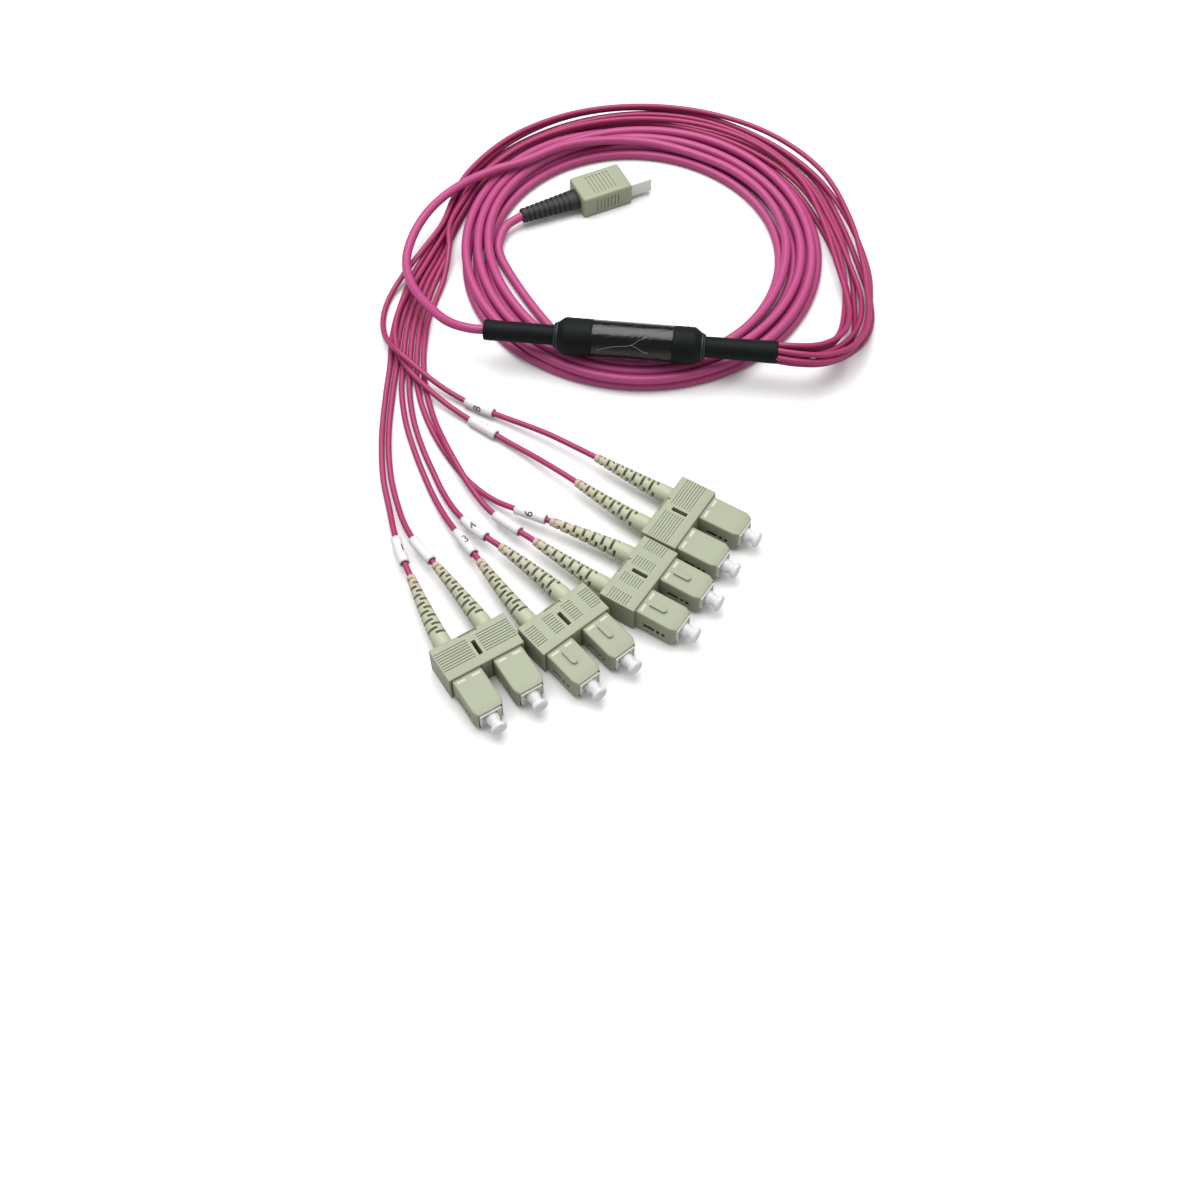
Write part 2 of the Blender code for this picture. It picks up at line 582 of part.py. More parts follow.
def coil(root, finish):
    """One ring that the turns of the trunk fill."""
    e = COIL_EDGE
    low, high = COIL_INNER_RADIUS, COIL_OUTER_RADIUS
    section = [(low + e, 0.0), (high - e, 0.0), (high, e), (high, COIL_HEIGHT - e),
               (high - e, COIL_HEIGHT), (low + e, COIL_HEIGHT), (low, COIL_HEIGHT - e), (low, e)]
    rings = []
    for i in range(COIL_STATIONS):
        turn = 2 * math.pi * i / COIL_STATIONS
        around = Vector((math.cos(turn), math.sin(turn), 0.0))
        rings.append([COIL_CENTRE + around * r + Vector((0.0, 0.0, up)) for r, up in section])
    skin("trunk_coil", rings, root, finish, looped=True)


def trunk_plug(root, finishes):
    carrier = holder("far_plug", PLUG_BOOT_TIP, PLUG_HEADING, root)
    z = PLUG_HEIGHT / 2
    tip = PLUG_BOOT_TIP_DIAMETER
    rings = [box_ring(0.0, tip, tip, tip * 0.29, z),
             box_ring(PLUG_BOOT_LENGTH, PLUG_BOOT_BASE_WIDTH, PLUG_BOOT_BASE_HEIGHT, PLUG_EDGE, z)]
    skin("trunk_plug_boot", rings, carrier, finishes["plug_boot"])
    start = PLUG_BOOT_LENGTH + GAP
    step = start + PLUG_LENGTH - PLUG_NOSE_LENGTH
    rings = [box_ring(start, PLUG_WIDTH, PLUG_HEIGHT, PLUG_EDGE, z),
             box_ring(step, PLUG_WIDTH, PLUG_HEIGHT, PLUG_EDGE, z),
             box_ring(step, PLUG_NOSE_WIDTH, PLUG_NOSE_HEIGHT, PLUG_EDGE, z),
             box_ring(start + PLUG_LENGTH, PLUG_NOSE_WIDTH, PLUG_NOSE_HEIGHT, PLUG_EDGE, z)]
    skin("trunk_plug", rings, carrier, finishes["plug"])


def bundle_line():
    """The middle of the bundle, from the sleeve's end to the left of the coil."""
    start = breakout_point(BREAKOUT_LENGTH + GAP)
    straight = breakout_point(BREAKOUT_LENGTH + GAP + LEG_RUN_OUT)
    arc = []
    first, last, step = BUNDLE_ARC_DEGREES
    for degrees in range(first, last + 1, step):
        turn = math.radians(degrees)
        out = Vector((math.cos(turn), math.sin(turn), 0.0)) * BUNDLE_REACH
        arc.append(COIL_CENTRE + out + Vector((0.0, 0.0, BUNDLE_FLOOR)))
    middle = [Vector(p) for p in BUNDLE_START]
    return [start, straight] + middle + arc + [Vector(p) for p in BUNDLE_END]


def leg_line(tag):
    """A leg's points: its seat along the bundle, its own route, and into its boot."""
    middle = bundle_line()
    turn, column, row = BUNDLE_SEATS[tag]
    round_out, round_up = 0.0, 0.0
    if turn is not None:
        round_out = BUNDLE_ROUND_RADIUS * math.cos(math.radians(turn))
        round_up = BUNDLE_ROUND_RADIUS * math.sin(math.radians(turn))
    points = []
    for i, place in enumerate(middle):
        ahead = middle[min(i + 1, len(middle) - 1)] - middle[max(i - 1, 0)]
        outward = Vector((ahead.y, -ahead.x, 0.0)).normalized()
        share = min(1.0, i / BUNDLE_MORPH_POINTS)
        out = round_out * (1 - share) + column * LEG_PITCH * share
        up = round_up * (1 - share) + row * LEG_PITCH * share
        points.append(place + outward * out + Vector((0.0, 0.0, up)))
    points += [Vector(p) for p in LEG_ROUTES[tag]]
    tip, ahead = boot_tip(tag)
    points += [tip - ahead * LEG_RUN_IN - Vector((0.0, 0.0, LEG_RUN_IN_DROP)), tip]
    line = smooth_line(points, TUBE_STEP)
    for place in line:
        place.z = max(place.z, LEG_DIAMETER / 2)
    return line


def legs(root, finishes):
    for tag in BUNDLE_SEATS:
        line = leg_line(tag)
        tube("leg_" + tag, line, LEG_DIAMETER, root, finishes["leg"])
        bore = LEG_DIAMETER / 2 + GAP
        back = spread(line, 0.5)[::-1]
        first = round(2 * (MARKER_SETBACK[tag] - MARKER_LENGTH))
        stretch = back[first:first + round(2 * MARKER_LENGTH) + 1]
        shell_on_line("marker_" + tag, spread(stretch, MARKER_LENGTH / 3), bore,
                      bore + MARKER_WALL, root, finishes["marker"])


def trunk(root, finishes):
    start = [breakout_point(-GAP), breakout_point(-GAP - TRUNK_RUN_OUT)]
    line = smooth_line(start + [Vector(p) for p in TRUNK_ROUTE], TUBE_STEP)
    tube("trunk_lead", line, TRUNK_DIAMETER, root, finishes["trunk"])
    coil(root, finishes["trunk"])


def build():
    clear_scene()
    finishes = {
        "beige": material("beige_plastic", BEIGE, 0.45),
        "frame": material("frame_plastic", OFF_WHITE, 0.5),
        "boot": material("boot_rubber", BEIGE, 0.6),
        "cap": material("cap_plastic", CLEAR, 0.35),
        "black": material("black_sleeve", BLACK, 0.5),
        "clear": material("clear_wrap", CLEAR, 0.1),
        "trunk": material("trunk_jacket", PINK, 0.5),
        "leg": material("leg_jacket", LEG_PINK, 0.5),
        "marker": material("marker_sleeve", OFF_WHITE, 0.5),
        "plug": material("plug_plastic", BEIGE, 0.45),
        "plug_boot": material("plug_boot_rubber", BLACK, 0.55),
    }
    root = holder("cable", -ORIGIN, 0.0)
    connectors(root, finishes)
    breakout(root, finishes)
    legs(root, finishes)
    trunk(root, finishes)
    trunk_plug(root, finishes)


build()
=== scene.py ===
"""Looks of the fibre breakout cable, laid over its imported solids.

Sizes are in millimetres on the drawing plan of the part, whose middle is at PLAN_MIDDLE;
spot() turns a place on that plan into metres in the frame.
"""

import math

import bmesh
import bpy
from mathutils import Matrix, Vector


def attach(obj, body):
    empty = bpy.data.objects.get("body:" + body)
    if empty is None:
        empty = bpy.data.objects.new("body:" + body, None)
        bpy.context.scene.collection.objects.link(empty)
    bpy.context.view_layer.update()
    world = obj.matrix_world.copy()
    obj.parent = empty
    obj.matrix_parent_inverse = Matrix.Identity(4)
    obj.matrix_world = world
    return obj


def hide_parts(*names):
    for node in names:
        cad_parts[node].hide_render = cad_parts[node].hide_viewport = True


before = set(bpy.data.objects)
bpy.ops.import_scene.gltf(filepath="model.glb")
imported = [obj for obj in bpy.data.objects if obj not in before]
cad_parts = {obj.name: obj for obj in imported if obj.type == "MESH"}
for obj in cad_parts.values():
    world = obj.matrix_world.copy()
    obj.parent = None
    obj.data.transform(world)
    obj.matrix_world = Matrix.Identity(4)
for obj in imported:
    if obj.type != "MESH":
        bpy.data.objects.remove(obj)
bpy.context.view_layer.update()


# Camera, floor and lights.
# The camera looks along +Y and steeply down, from 430 mm away, with no shift.
MM = 0.001
PLAN_MIDDLE = Vector((-0.06, 24.94, 0.0))


def spot(x, y, z):
    return (Vector((x, y, z)) - PLAN_MIDDLE) * MM


def new_object(name, data):
    made = bpy.data.objects.new(name, data)
    bpy.context.scene.collection.objects.link(made)
    return made


def colour_mix(nodes, first, second):
    """A node that goes from its input 6 to its input 7, by the share in its input 0."""
    mix = nodes.new("ShaderNodeMix")
    mix.data_type = "RGBA"
    mix.inputs[6].default_value = (*first, 1.0)
    mix.inputs[7].default_value = (*second, 1.0)
    return mix


FLOOR_SEEN = (0.96, 0.96, 0.96)
FLOOR_SENT = (0.52, 0.52, 0.52)
ROOM_LIGHT = 0.48
ROOM_MIRRORED = 0.22
CAMERA_DISTANCE = 0.430
CAMERA_ELEVATION = math.radians(57.056)
camera_data = bpy.data.cameras.new("camera")
camera_data.lens = 45.37
camera_data.sensor_width = 36.0
camera_data.clip_start = 0.01
camera = new_object("camera", camera_data)
away = Vector((0.0, -math.cos(CAMERA_ELEVATION), math.sin(CAMERA_ELEVATION)))
camera.location = spot(0.0, 0.0, 0.0) + away * CAMERA_DISTANCE
camera.rotation_euler = (math.pi / 2 - CAMERA_ELEVATION, 0.0, 0.0)
bpy.context.scene.camera = camera

floor_finish = bpy.data.materials.new("floor_white")
floor_finish.use_nodes = True
floor_shader = floor_finish.node_tree.nodes["Principled BSDF"]
floor_shader.inputs["Roughness"].default_value = 0.9
# The floor looks white but sends less light up, so that the plugs' sides stay shaded.
floor_rays = floor_finish.node_tree.nodes.new("ShaderNodeLightPath")
floor_colour = colour_mix(floor_finish.node_tree.nodes, FLOOR_SENT, FLOOR_SEEN)
floor_finish.node_tree.links.new(floor_rays.outputs["Is Camera Ray"], floor_colour.inputs[0])
floor_finish.node_tree.links.new(floor_colour.outputs[2], floor_shader.inputs["Base Color"])
floor_bm = bmesh.new()
bmesh.ops.create_grid(floor_bm, x_segments=1, y_segments=1, size=3.0)
bmesh.ops.translate(floor_bm, verts=floor_bm.verts, vec=(0.0, 0.0, -0.0001))
floor_mesh = bpy.data.meshes.new("floor")
floor_bm.to_mesh(floor_mesh)
floor_bm.free()
floor_mesh.materials.append(floor_finish)
floor = new_object("floor", floor_mesh)


def softbox(name, place, aim, size, power):
    lamp = bpy.data.lights.new(name, "AREA")
    lamp.shape = "SQUARE"
    lamp.size = size
    lamp.energy = power
    body = new_object(name, lamp)
    body.location = place
    body.rotation_euler = (Vector(aim) - Vector(place)).to_track_quat("-Z", "Y").to_euler()


softbox("softbox_above", (-0.12, 0.30, 0.95), (0.0, 0.0, 0.0), 1.0, 13.0)
softbox("softbox_right", (0.80, 0.10, 0.55), (0.0, 0.0, 0.0), 0.50, 1.0)
world = bpy.data.worlds.new("studio")
world.use_nodes = True
world_nodes, world_links = world.node_tree.nodes, world.node_tree.links
world_nodes["Background"].inputs["Color"].default_value = (1.0, 1.0, 1.0, 1.0)
# What glossy pieces mirror round the softboxes is a dimmer room.
world_rays = world_nodes.new("ShaderNodeLightPath")
world_strength = world_nodes.new("ShaderNodeMapRange")
world_strength.inputs["To Min"].default_value = ROOM_LIGHT
world_strength.inputs["To Max"].default_value = ROOM_MIRRORED
world_links.new(world_rays.outputs["Is Glossy Ray"], world_strength.inputs["Value"])
world_links.new(world_strength.outputs["Result"], world_nodes["Background"].inputs["Strength"])
bpy.context.scene.world = world
bpy.context.scene.view_settings.view_transform = "Standard"


# Trunk cable: one round 3 mm cable with a soft violet-pink plastic jacket.  It leaves the
# breakout body, passes over the legs and is wound into a loose coil of seven turns, four
# on the floor and three on them; its far end goes into the plug's boot inside the coil.
TRUNK_DIAMETER = 3.0
BREAKOUT_END = Vector((-36.0, 92.0, 0.0))
BREAKOUT_Z = 12.45
BREAKOUT_HEADING = math.radians(-6.0)
COIL_CENTRE = Vector((13.4, 137.0, 0.0))
COIL_START_DEGREES = 137.0
STEPS_PER_TURN = 24
UPPER_STEPS = range(5, 73)
LOWER_STEPS = range(1, 90)
TRUNK_EXIT = -0.3
LAYER_HEIGHTS = (1.5, 4.6)
TRUNK_OVER_LEGS = [(-47.2, 96.6, 10.9), (-54.6, 105.6, 9.0), (-60.6, 116.4, 7.2),
                   (-63.2, 127.2, 6.9), (-61.6, 138.4, 7.7), (-56.4, 149.8, 8.8),
                   (-47.6, 160.4, 9.0), (-37.0, 168.4, 8.4), (-26.0, 173.6, 8.2)]
TRUNK_INTO_COIL = [(120.0, 51.6, 8.0), (102.0, 49.9, 6.9), (84.0, 49.4, 5.3)]
TRUNK_TO_PLUG = [(-33.4, 136.0, 1.7), (-33.4, 142.3, 2.4), (-31.3, 147.6, 3.3),
                 (-26.3, 151.5, 3.9)]
LAID_PITCH = 3.1
UPPER_INNERMOST = 49.4
LOWER_OUTERMOST = 58.8
SIDE_WIDENING = 1.2
FRONT_SHIFT = 1.2
WANDER = 0.45


def breakout_spot(along):
    ahead = Vector((math.cos(BREAKOUT_HEADING), math.sin(BREAKOUT_HEADING), 0.0))
    return BREAKOUT_END + ahead * along + Vector((0.0, 0.0, BREAKOUT_Z))


def ease(share):
    held = min(1.0, max(0.0, share))
    return held * held * (3 - 2 * held)


def looseness(part, degrees):
    """How far the turns lie apart: tight where a layer starts and under the breakout."""
    front = max(0.0, math.cos(math.radians(degrees + 90.0))) ** 3
    return ease(part / 0.25) * ease((1 - part) / 0.25) * (1 - 0.85 * front), front


def upper_radius(turned, degrees):
    lap = min(int(turned), 2)
    part = turned - lap
    loose, front = looseness(part, degrees)
    apart = SIDE_WIDENING * (lap - 1) - LAID_PITCH * part
    wave = WANDER * math.sin(math.radians(3 * degrees) + 2.1 * lap)
    return UPPER_INNERMOST + LAID_PITCH * turned + loose * (apart + wave) + FRONT_SHIFT * front


def lower_radius(turned, degrees):
    lap = min(int(turned), 3)
    part = turned - lap
    loose, front = looseness(part, degrees)
    apart = LAID_PITCH * (part - lap / 3)
    wave = WANDER * math.sin(math.radians(2 * degrees) + 1.3 * lap)
    return LOWER_OUTERMOST - LAID_PITCH * turned + loose * (apart + wave) + FRONT_SHIFT * front


def coil_spot(degrees, radius, z):
    turn = math.radians(degrees)
    return COIL_CENTRE + Vector((math.cos(turn) * radius, math.sin(turn) * radius, z))


def smooth_route(points, step):
    """A smooth line through the points, read at even steps no longer than step."""
    chain = [Vector(p) for p in points]
    chain = [2 * chain[0] - chain[1]] + chain + [2 * chain[-1] - chain[-2]]
    fine = []
    for p0, p1, p2, p3 in zip(chain, chain[1:], chain[2:], chain[3:]):
        t1 = max((p1 - p0).length, 1e-6) ** 0.5
        t2 = t1 + max((p2 - p1).length, 1e-6) ** 0.5
        t3 = t2 + max((p3 - p2).length, 1e-6) ** 0.5
        for i in range(24):
            t = t1 + (t2 - t1) * i / 24
            a1 = p0.lerp(p1, t / t1)
            a2 = p1.lerp(p2, (t - t1) / (t2 - t1))
            a3 = p2.lerp(p3, (t - t2) / (t3 - t2))
            b1 = a1.lerp(a2, t / t2)
            b2 = a2.lerp(a3, (t - t1) / (t3 - t1))
            fine.append(b1.lerp(b2, (t - t1) / (t2 - t1)))
    fine.append(chain[-2])
    return even_steps(fine, step)


def even_steps(fine, step):
    runs = [0.0]
    for a, b in zip(fine, fine[1:]):
        runs.append(runs[-1] + (b - a).length)
    count = max(2, math.ceil(runs[-1] / step) + 1)
    even = []
    k = 0
    for i in range(count):
        want = runs[-1] * i / (count - 1)
        while k < len(runs) - 2 and runs[k + 1] < want:
            k += 1
        span = max(runs[k + 1] - runs[k], 1e-9)
        even.append(fine[k].lerp(fine[k + 1], min(1.0, (want - runs[k]) / span)))
    return even


def cable(name, line, diameter, finish):
    """A round cable along a line of the plan, as one open curve."""
    curve = bpy.data.curves.new(name, "CURVE")
    curve.dimensions = "3D"
    curve.bevel_depth = diameter / 2 * MM
    curve.bevel_resolution = 4
    curve.use_fill_caps = True
    spline = curve.splines.new("POLY")
    spline.points.add(len(line) - 1)
    for point, place in zip(spline.points, line):
        point.co = spot(*place).to_4d()
    spline.use_smooth = True
    curve.materials.append(finish)
    return new_object(name, curve)


def trunk_route():
    points = [breakout_spot(TRUNK_EXIT), breakout_spot(-4.0)]
    points += [Vector(p) for p in TRUNK_OVER_LEGS]
    points += [coil_spot(*p) for p in TRUNK_INTO_COIL]
    low, high = LAYER_HEIGHTS
    for step in UPPER_STEPS:
        degrees = COIL_START_DEGREES - 360.0 / STEPS_PER_TURN * step
        points.append(coil_spot(degrees, upper_radius(step / STEPS_PER_TURN, degrees), high))
    for step in LOWER_STEPS:
        degrees = COIL_START_DEGREES - 360.0 / STEPS_PER_TURN * step
        z = high - (high - low) * ease(step / 4)
        points.append(coil_spot(degrees, lower_radius(step / STEPS_PER_TURN, degrees), z))
    points += [Vector(p) for p in TRUNK_TO_PLUG]
    return smooth_route(points, 2.5)


def grain_group():
    """Fine grain and slow patches over a moulded or extruded surface, both from 0 to 1."""
    group = bpy.data.node_groups.new("surface_grain", "ShaderNodeTree")
    for name in ("Grain Scale", "Patch Scale"):
        group.interface.new_socket(name, in_out="INPUT", socket_type="NodeSocketFloat")
    for name in ("Grain", "Patch"):
        group.interface.new_socket(name, in_out="OUTPUT", socket_type="NodeSocketFloat")
    inward = group.nodes.new("NodeGroupInput")
    outward = group.nodes.new("NodeGroupOutput")
    place = group.nodes.new("ShaderNodeTexCoord")
    for name in ("Grain", "Patch"):
        noise = group.nodes.new("ShaderNodeTexNoise")
        noise.inputs["Detail"].default_value = 3.0
        group.links.new(place.outputs["Object"], noise.inputs["Vector"])
        group.links.new(inward.outputs[name + " Scale"], noise.inputs["Scale"])
        group.links.new(noise.outputs["Fac"], outward.inputs[name])
    return group


surface_grain = grain_group()


def add_grain(nodes, grain_scale, patch_scale):
    grain = nodes.new("ShaderNodeGroup")
    grain.node_tree = surface_grain
    grain.inputs["Grain Scale"].default_value = grain_scale
    grain.inputs["Patch Scale"].default_value = patch_scale
    return grain


def add_relief(finish, height, depth, strength):
    """Lay a height over a finish as relief, by its depth in millimetres."""
    nodes, links = finish.node_tree.nodes, finish.node_tree.links
    relief = nodes.new("ShaderNodeBump")
    relief.inputs["Distance"].default_value = depth * MM
    relief.inputs["Strength"].default_value = strength
    links.new(height, relief.inputs["Height"])
    links.new(relief.outputs["Normal"], nodes["Principled BSDF"].inputs["Normal"])


def plastic(name, colour, patch_colour, roughness, grain_scale, grain_depth,
            patch_scale=60.0, gloss=0.5):
    """A plastic whose colour drifts in patches and whose roughness and relief follow its grain."""
    finish = bpy.data.materials.new(name)
    finish.use_nodes = True
    nodes, links = finish.node_tree.nodes, finish.node_tree.links
    shader = nodes["Principled BSDF"]
    shader.inputs["Specular IOR Level"].default_value = gloss
    grain = add_grain(nodes, grain_scale, patch_scale)
    drift = colour_mix(nodes, colour, patch_colour)
    drift.name = "drift"
    links.new(grain.outputs["Patch"], drift.inputs[0])
    links.new(drift.outputs[2], shader.inputs["Base Color"])
    matt = nodes.new("ShaderNodeMapRange")
    matt.inputs["To Min"].default_value = roughness - 0.08
    matt.inputs["To Max"].default_value = roughness + 0.08
    links.new(grain.outputs["Grain"], matt.inputs["Value"])
    links.new(matt.outputs["Result"], shader.inputs["Roughness"])
    add_relief(finish, grain.outputs["Grain"], grain_depth, 0.6)
    return finish


jacket_pink = plastic("jacket_pink", (0.46, 0.060, 0.208), (0.39, 0.046, 0.175),
                      0.42, 2600.0, 0.02)
trunk_line = trunk_route()
trunk = cable("trunk_cable", trunk_line, TRUNK_DIAMETER, jacket_pink)
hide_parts("trunk_lead", "trunk_coil")
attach(trunk, "cable")


# Legs: eight thin cables, 1.8 mm across, in a deeper pink jacket.  They leave the breakout
# body as one loose bundle, run round the outside of the coil, pass under the trunk at the
# left and fan out there, each into the boot of its own connector.
LEG_DIAMETER = 1.8
LEG_PITCH = 2.1
BREAKOUT_LENGTH = 91.0
BUNDLE_REACH = 64.6
BUNDLE_Z = 3.05
BUNDLE_LOOSENESS = 0.9
# How a loose leg sways: by how much, and its turn from point to point and from leg to leg.
BUNDLE_SWAY = 1.3
SWAY_ALONG = 1.1
SWAY_ACROSS = 2.4
LOOSE_OUTWARD = 2.4
LOOSE_TOP_SPREAD = 2.5
LEG_SEAT_RADIUS = 2.45
LEG_RUN_IN = 9.3
LEG_INSIDE_BOOT = 2.4
BUNDLE_START = [(67.2, 83.4, 11.0), (73.3, 88.2, 8.8), (78.0, 95.6, 6.2),
                (80.8, 105.0, 4.1), (81.6, 116.0, 3.2), (80.9, 126.5, 3.05)]
BUNDLE_END = [(-47.6, 158.0, 3.05), (-51.5, 146.0, 3.05)]
# Each leg's turn round the sleeve's end, then its column and row in the bundle.
BUNDLE_SEATS = {"1a": (12.9, 1.0, 0.0), "1b": (-38.6, 1.0, -1.0), "2a": (-90.0, 0.0, -1.0),
                "2b": (218.6, -1.0, -1.0), "3a": (115.7, -0.6, 1.0), "3b": (167.1, -1.0, 0.0),
                "4a": (None, 0.0, 0.0), "4b": (64.3, 0.6, 1.0)}
LEG_ROUTES = {
    "1a": [(-57.8, 135.0, 2.8), (-62.3, 124.5, 0.95), (-64.4, 115.0, 0.95), (-65.9, 106.0, 0.95),
           (-66.4, 97.0, 0.95), (-66.2, 88.0, 0.95), (-66.6, 75.0, 0.95), (-66.5, 58.0, 0.95),
           (-64.9, 43.0, 0.95), (-62.2, 31.5, 1.3), (-60.0, 22.4, 2.5)],
    "1b": [(-56.6, 135.0, 0.95), (-60.2, 124.5, 0.95), (-62.3, 115.0, 0.95), (-63.8, 106.0, 0.95),
           (-64.3, 97.0, 0.95), (-64.1, 88.0, 0.95), (-64.5, 75.0, 0.95), (-64.4, 58.0, 0.95),
           (-62.7, 44.0, 0.95), (-60.0, 33.4, 1.3), (-56.9, 24.4, 2.5)],
    "2a": [(-54.5, 135.0, 0.95), (-58.1, 124.5, 0.95), (-60.2, 115.0, 0.95), (-61.7, 106.0, 0.95),
           (-62.2, 97.0, 0.95), (-62.0, 88.0, 0.95), (-61.8, 77.3, 0.95), (-59.6, 64.3, 0.95),
           (-56.0, 52.6, 0.95), (-52.2, 42.6, 0.95), (-48.8, 34.6, 1.3), (-44.6, 26.2, 2.5)],
    "2b": [(-52.4, 135.0, 0.95), (-56.0, 124.5, 0.95), (-58.1, 115.0, 0.95), (-59.6, 106.0, 0.95),
           (-60.1, 97.0, 0.95), (-59.9, 88.0, 0.95), (-59.4, 77.5, 0.95), (-57.2, 65.0, 0.95),
           (-53.7, 54.0, 0.95), (-50.0, 45.0, 0.95), (-46.4, 36.8, 1.3), (-41.6, 28.4, 2.5)],
    "3a": [(-49.9, 135.0, 4.6), (-51.3, 124.5, 1.5), (-53.6, 115.0, 0.95), (-55.4, 106.0, 0.95),
           (-55.9, 97.0, 0.95), (-55.6, 88.0, 0.95), (-54.2, 77.3, 0.95), (-50.9, 65.4, 1.3),
           (-46.8, 54.6, 2.95), (-42.2, 45.2, 2.95), (-38.0, 37.4, 2.95), (-32.8, 29.8, 3.1)],
    "3b": [(-50.5, 135.0, 2.3), (-53.9, 124.5, 0.95), (-56.0, 115.0, 0.95), (-57.5, 106.0, 0.95),
           (-58.0, 97.0, 0.95), (-57.8, 88.0, 0.95), (-57.0, 79.0, 0.95), (-54.6, 69.6, 0.95),
           (-50.4, 59.2, 0.95), (-44.6, 49.0, 0.95), (-38.4, 40.6, 1.1), (-31.2, 33.6, 2.3)],
    "4a": [(-55.6, 135.0, 2.9), (-59.6, 124.5, 2.9), (-63.3, 115.0, 2.95), (-65.2, 106.0, 2.95),
           (-65.2, 98.0, 2.95), (-63.6, 91.2, 3.0), (-60.8, 85.4, 3.05), (-57.2, 80.4, 3.05),
           (-52.9, 75.6, 3.05), (-47.2, 70.4, 2.3), (-41.5, 66.0, 1.7), (-34.9, 61.2, 1.65),
           (-27.8, 56.0, 1.65), (-20.9, 50.6, 2.5)],
    "4b": [(-58.4, 135.0, 4.7), (-65.0, 124.5, 2.4), (-68.9, 115.5, 1.0), (-69.9, 106.8, 1.0),
           (-68.4, 98.6, 2.4), (-65.4, 92.2, 4.9), (-61.6, 87.6, 5.4), (-57.2, 83.6, 4.5),
           (-52.4, 79.6, 3.3), (-45.6, 74.7, 2.1), (-38.4, 70.2, 1.8), (-29.8, 65.5, 2.2),
           (-22.6, 61.6, 2.9), (-15.7, 57.6, 3.6)],
}
# Each pair of connectors: the back of its clip on the floor, and the way that it points.
PAIRS = {"1": ((-36.6, -16.2), -57.9), "2": ((-13.7, -7.505), -49.5),
         "3": ((6.205, 6.196), -33.1), "4": ((17.908, 27.393), -32.0)}
CONNECTOR_PITCH = 12.7
CONNECTOR_Z = 4.6
BOOT_TIP = -27.0
BOOT_COLLAR = -2.0
BOOT_BEND = 1.35
BOOT_LEAN = {"1a": -7.0, "1b": 4.0, "2a": -5.0, "2b": 6.5,
             "3a": -4.5, "3b": 5.5, "4a": -6.0, "4b": -2.0}


def side_of(tag):
    return CONNECTOR_PITCH / 2 * (1 if tag[1] == "b" else -1)


def boot_sway(tag, x):
    """How far a boot's middle line is bent sideways at x, and its slope there."""
    run = BOOT_COLLAR - BOOT_TIP
    share = max(0.0, BOOT_COLLAR - x) / run
    lean = math.tan(math.radians(BOOT_LEAN[tag]))
    return -lean * run * share ** BOOT_BEND, lean * BOOT_BEND * share ** (BOOT_BEND - 1)


def leg_route(tag):
    """From inside the breakout's sleeve, along the bundle and the leg's own way, into its boot."""
    middle = [breakout_spot(BREAKOUT_LENGTH - 1.5), breakout_spot(BREAKOUT_LENGTH + 5.3)]
    middle += [Vector(p) for p in BUNDLE_START]
    middle += [coil_spot(degrees, BUNDLE_REACH, BUNDLE_Z) for degrees in range(10, 151, 20)]
    middle += [Vector(p) for p in BUNDLE_END]
    turn, column, row = BUNDLE_SEATS[tag]
    seat = Vector((0.0, 0.0))
    if turn is not None:
        turn = math.radians(turn)
        seat = Vector((math.cos(turn), math.sin(turn))) * LEG_SEAT_RADIUS
    points = []
    for i, place in enumerate(middle):
        ahead = middle[min(i + 1, len(middle) - 1)] - middle[max(i - 1, 0)]
        outward = Vector((ahead.y, -ahead.x, 0.0)).normalized()
        share = min(1.0, i / 5)
        loose = BUNDLE_LOOSENESS * math.sin(math.pi * i / (len(middle) - 1))
        out, up = seat.lerp(Vector((column, row)) * LEG_PITCH, share)
        number = list(BUNDLE_SEATS).index(tag)
        wave = BUNDLE_SWAY * math.sin(SWAY_ALONG * i + SWAY_ACROSS * number)
        spread = LOOSE_TOP_SPREAD if row > 0 else 1.0
        out = out * (1 + spread * loose) + (LOOSE_OUTWARD + wave) * loose
        points.append(place + outward * out + Vector((0.0, 0.0, up)))
    points += [Vector(p) for p in LEG_ROUTES[tag]]
    place, degrees = PAIRS[tag[0]]
    heading = Matrix.Rotation(math.radians(degrees), 3, "Z")
    sway, slope = boot_sway(tag, BOOT_TIP)
    tip = Vector((*place, CONNECTOR_Z)) + heading @ Vector((BOOT_TIP, side_of(tag) + sway, 0.0))
    into = (heading @ Vector((1.0, slope, 0.0))).normalized()
    points += [tip - into * LEG_RUN_IN - Vector((0.0, 0.0, 0.6)), tip - into * 0.3,
               tip + into * LEG_INSIDE_BOOT]
    line = smooth_route(points, 2.0)
    for place in line:
        place.z = max(place.z, LEG_DIAMETER / 2)
    return line


jacket_deep_pink = plastic("jacket_deep_pink", (0.38, 0.030, 0.128), (0.32, 0.023, 0.105),
                           0.42, 2600.0, 0.02)
leg_lines = {}
legs = {}
for tag in BUNDLE_SEATS:
    leg_lines[tag] = leg_route(tag)
    legs[tag] = cable("leg_cable_" + tag, leg_lines[tag], LEG_DIAMETER, jacket_deep_pink)
    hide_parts("leg_" + tag)
    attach(legs[tag], "cable")


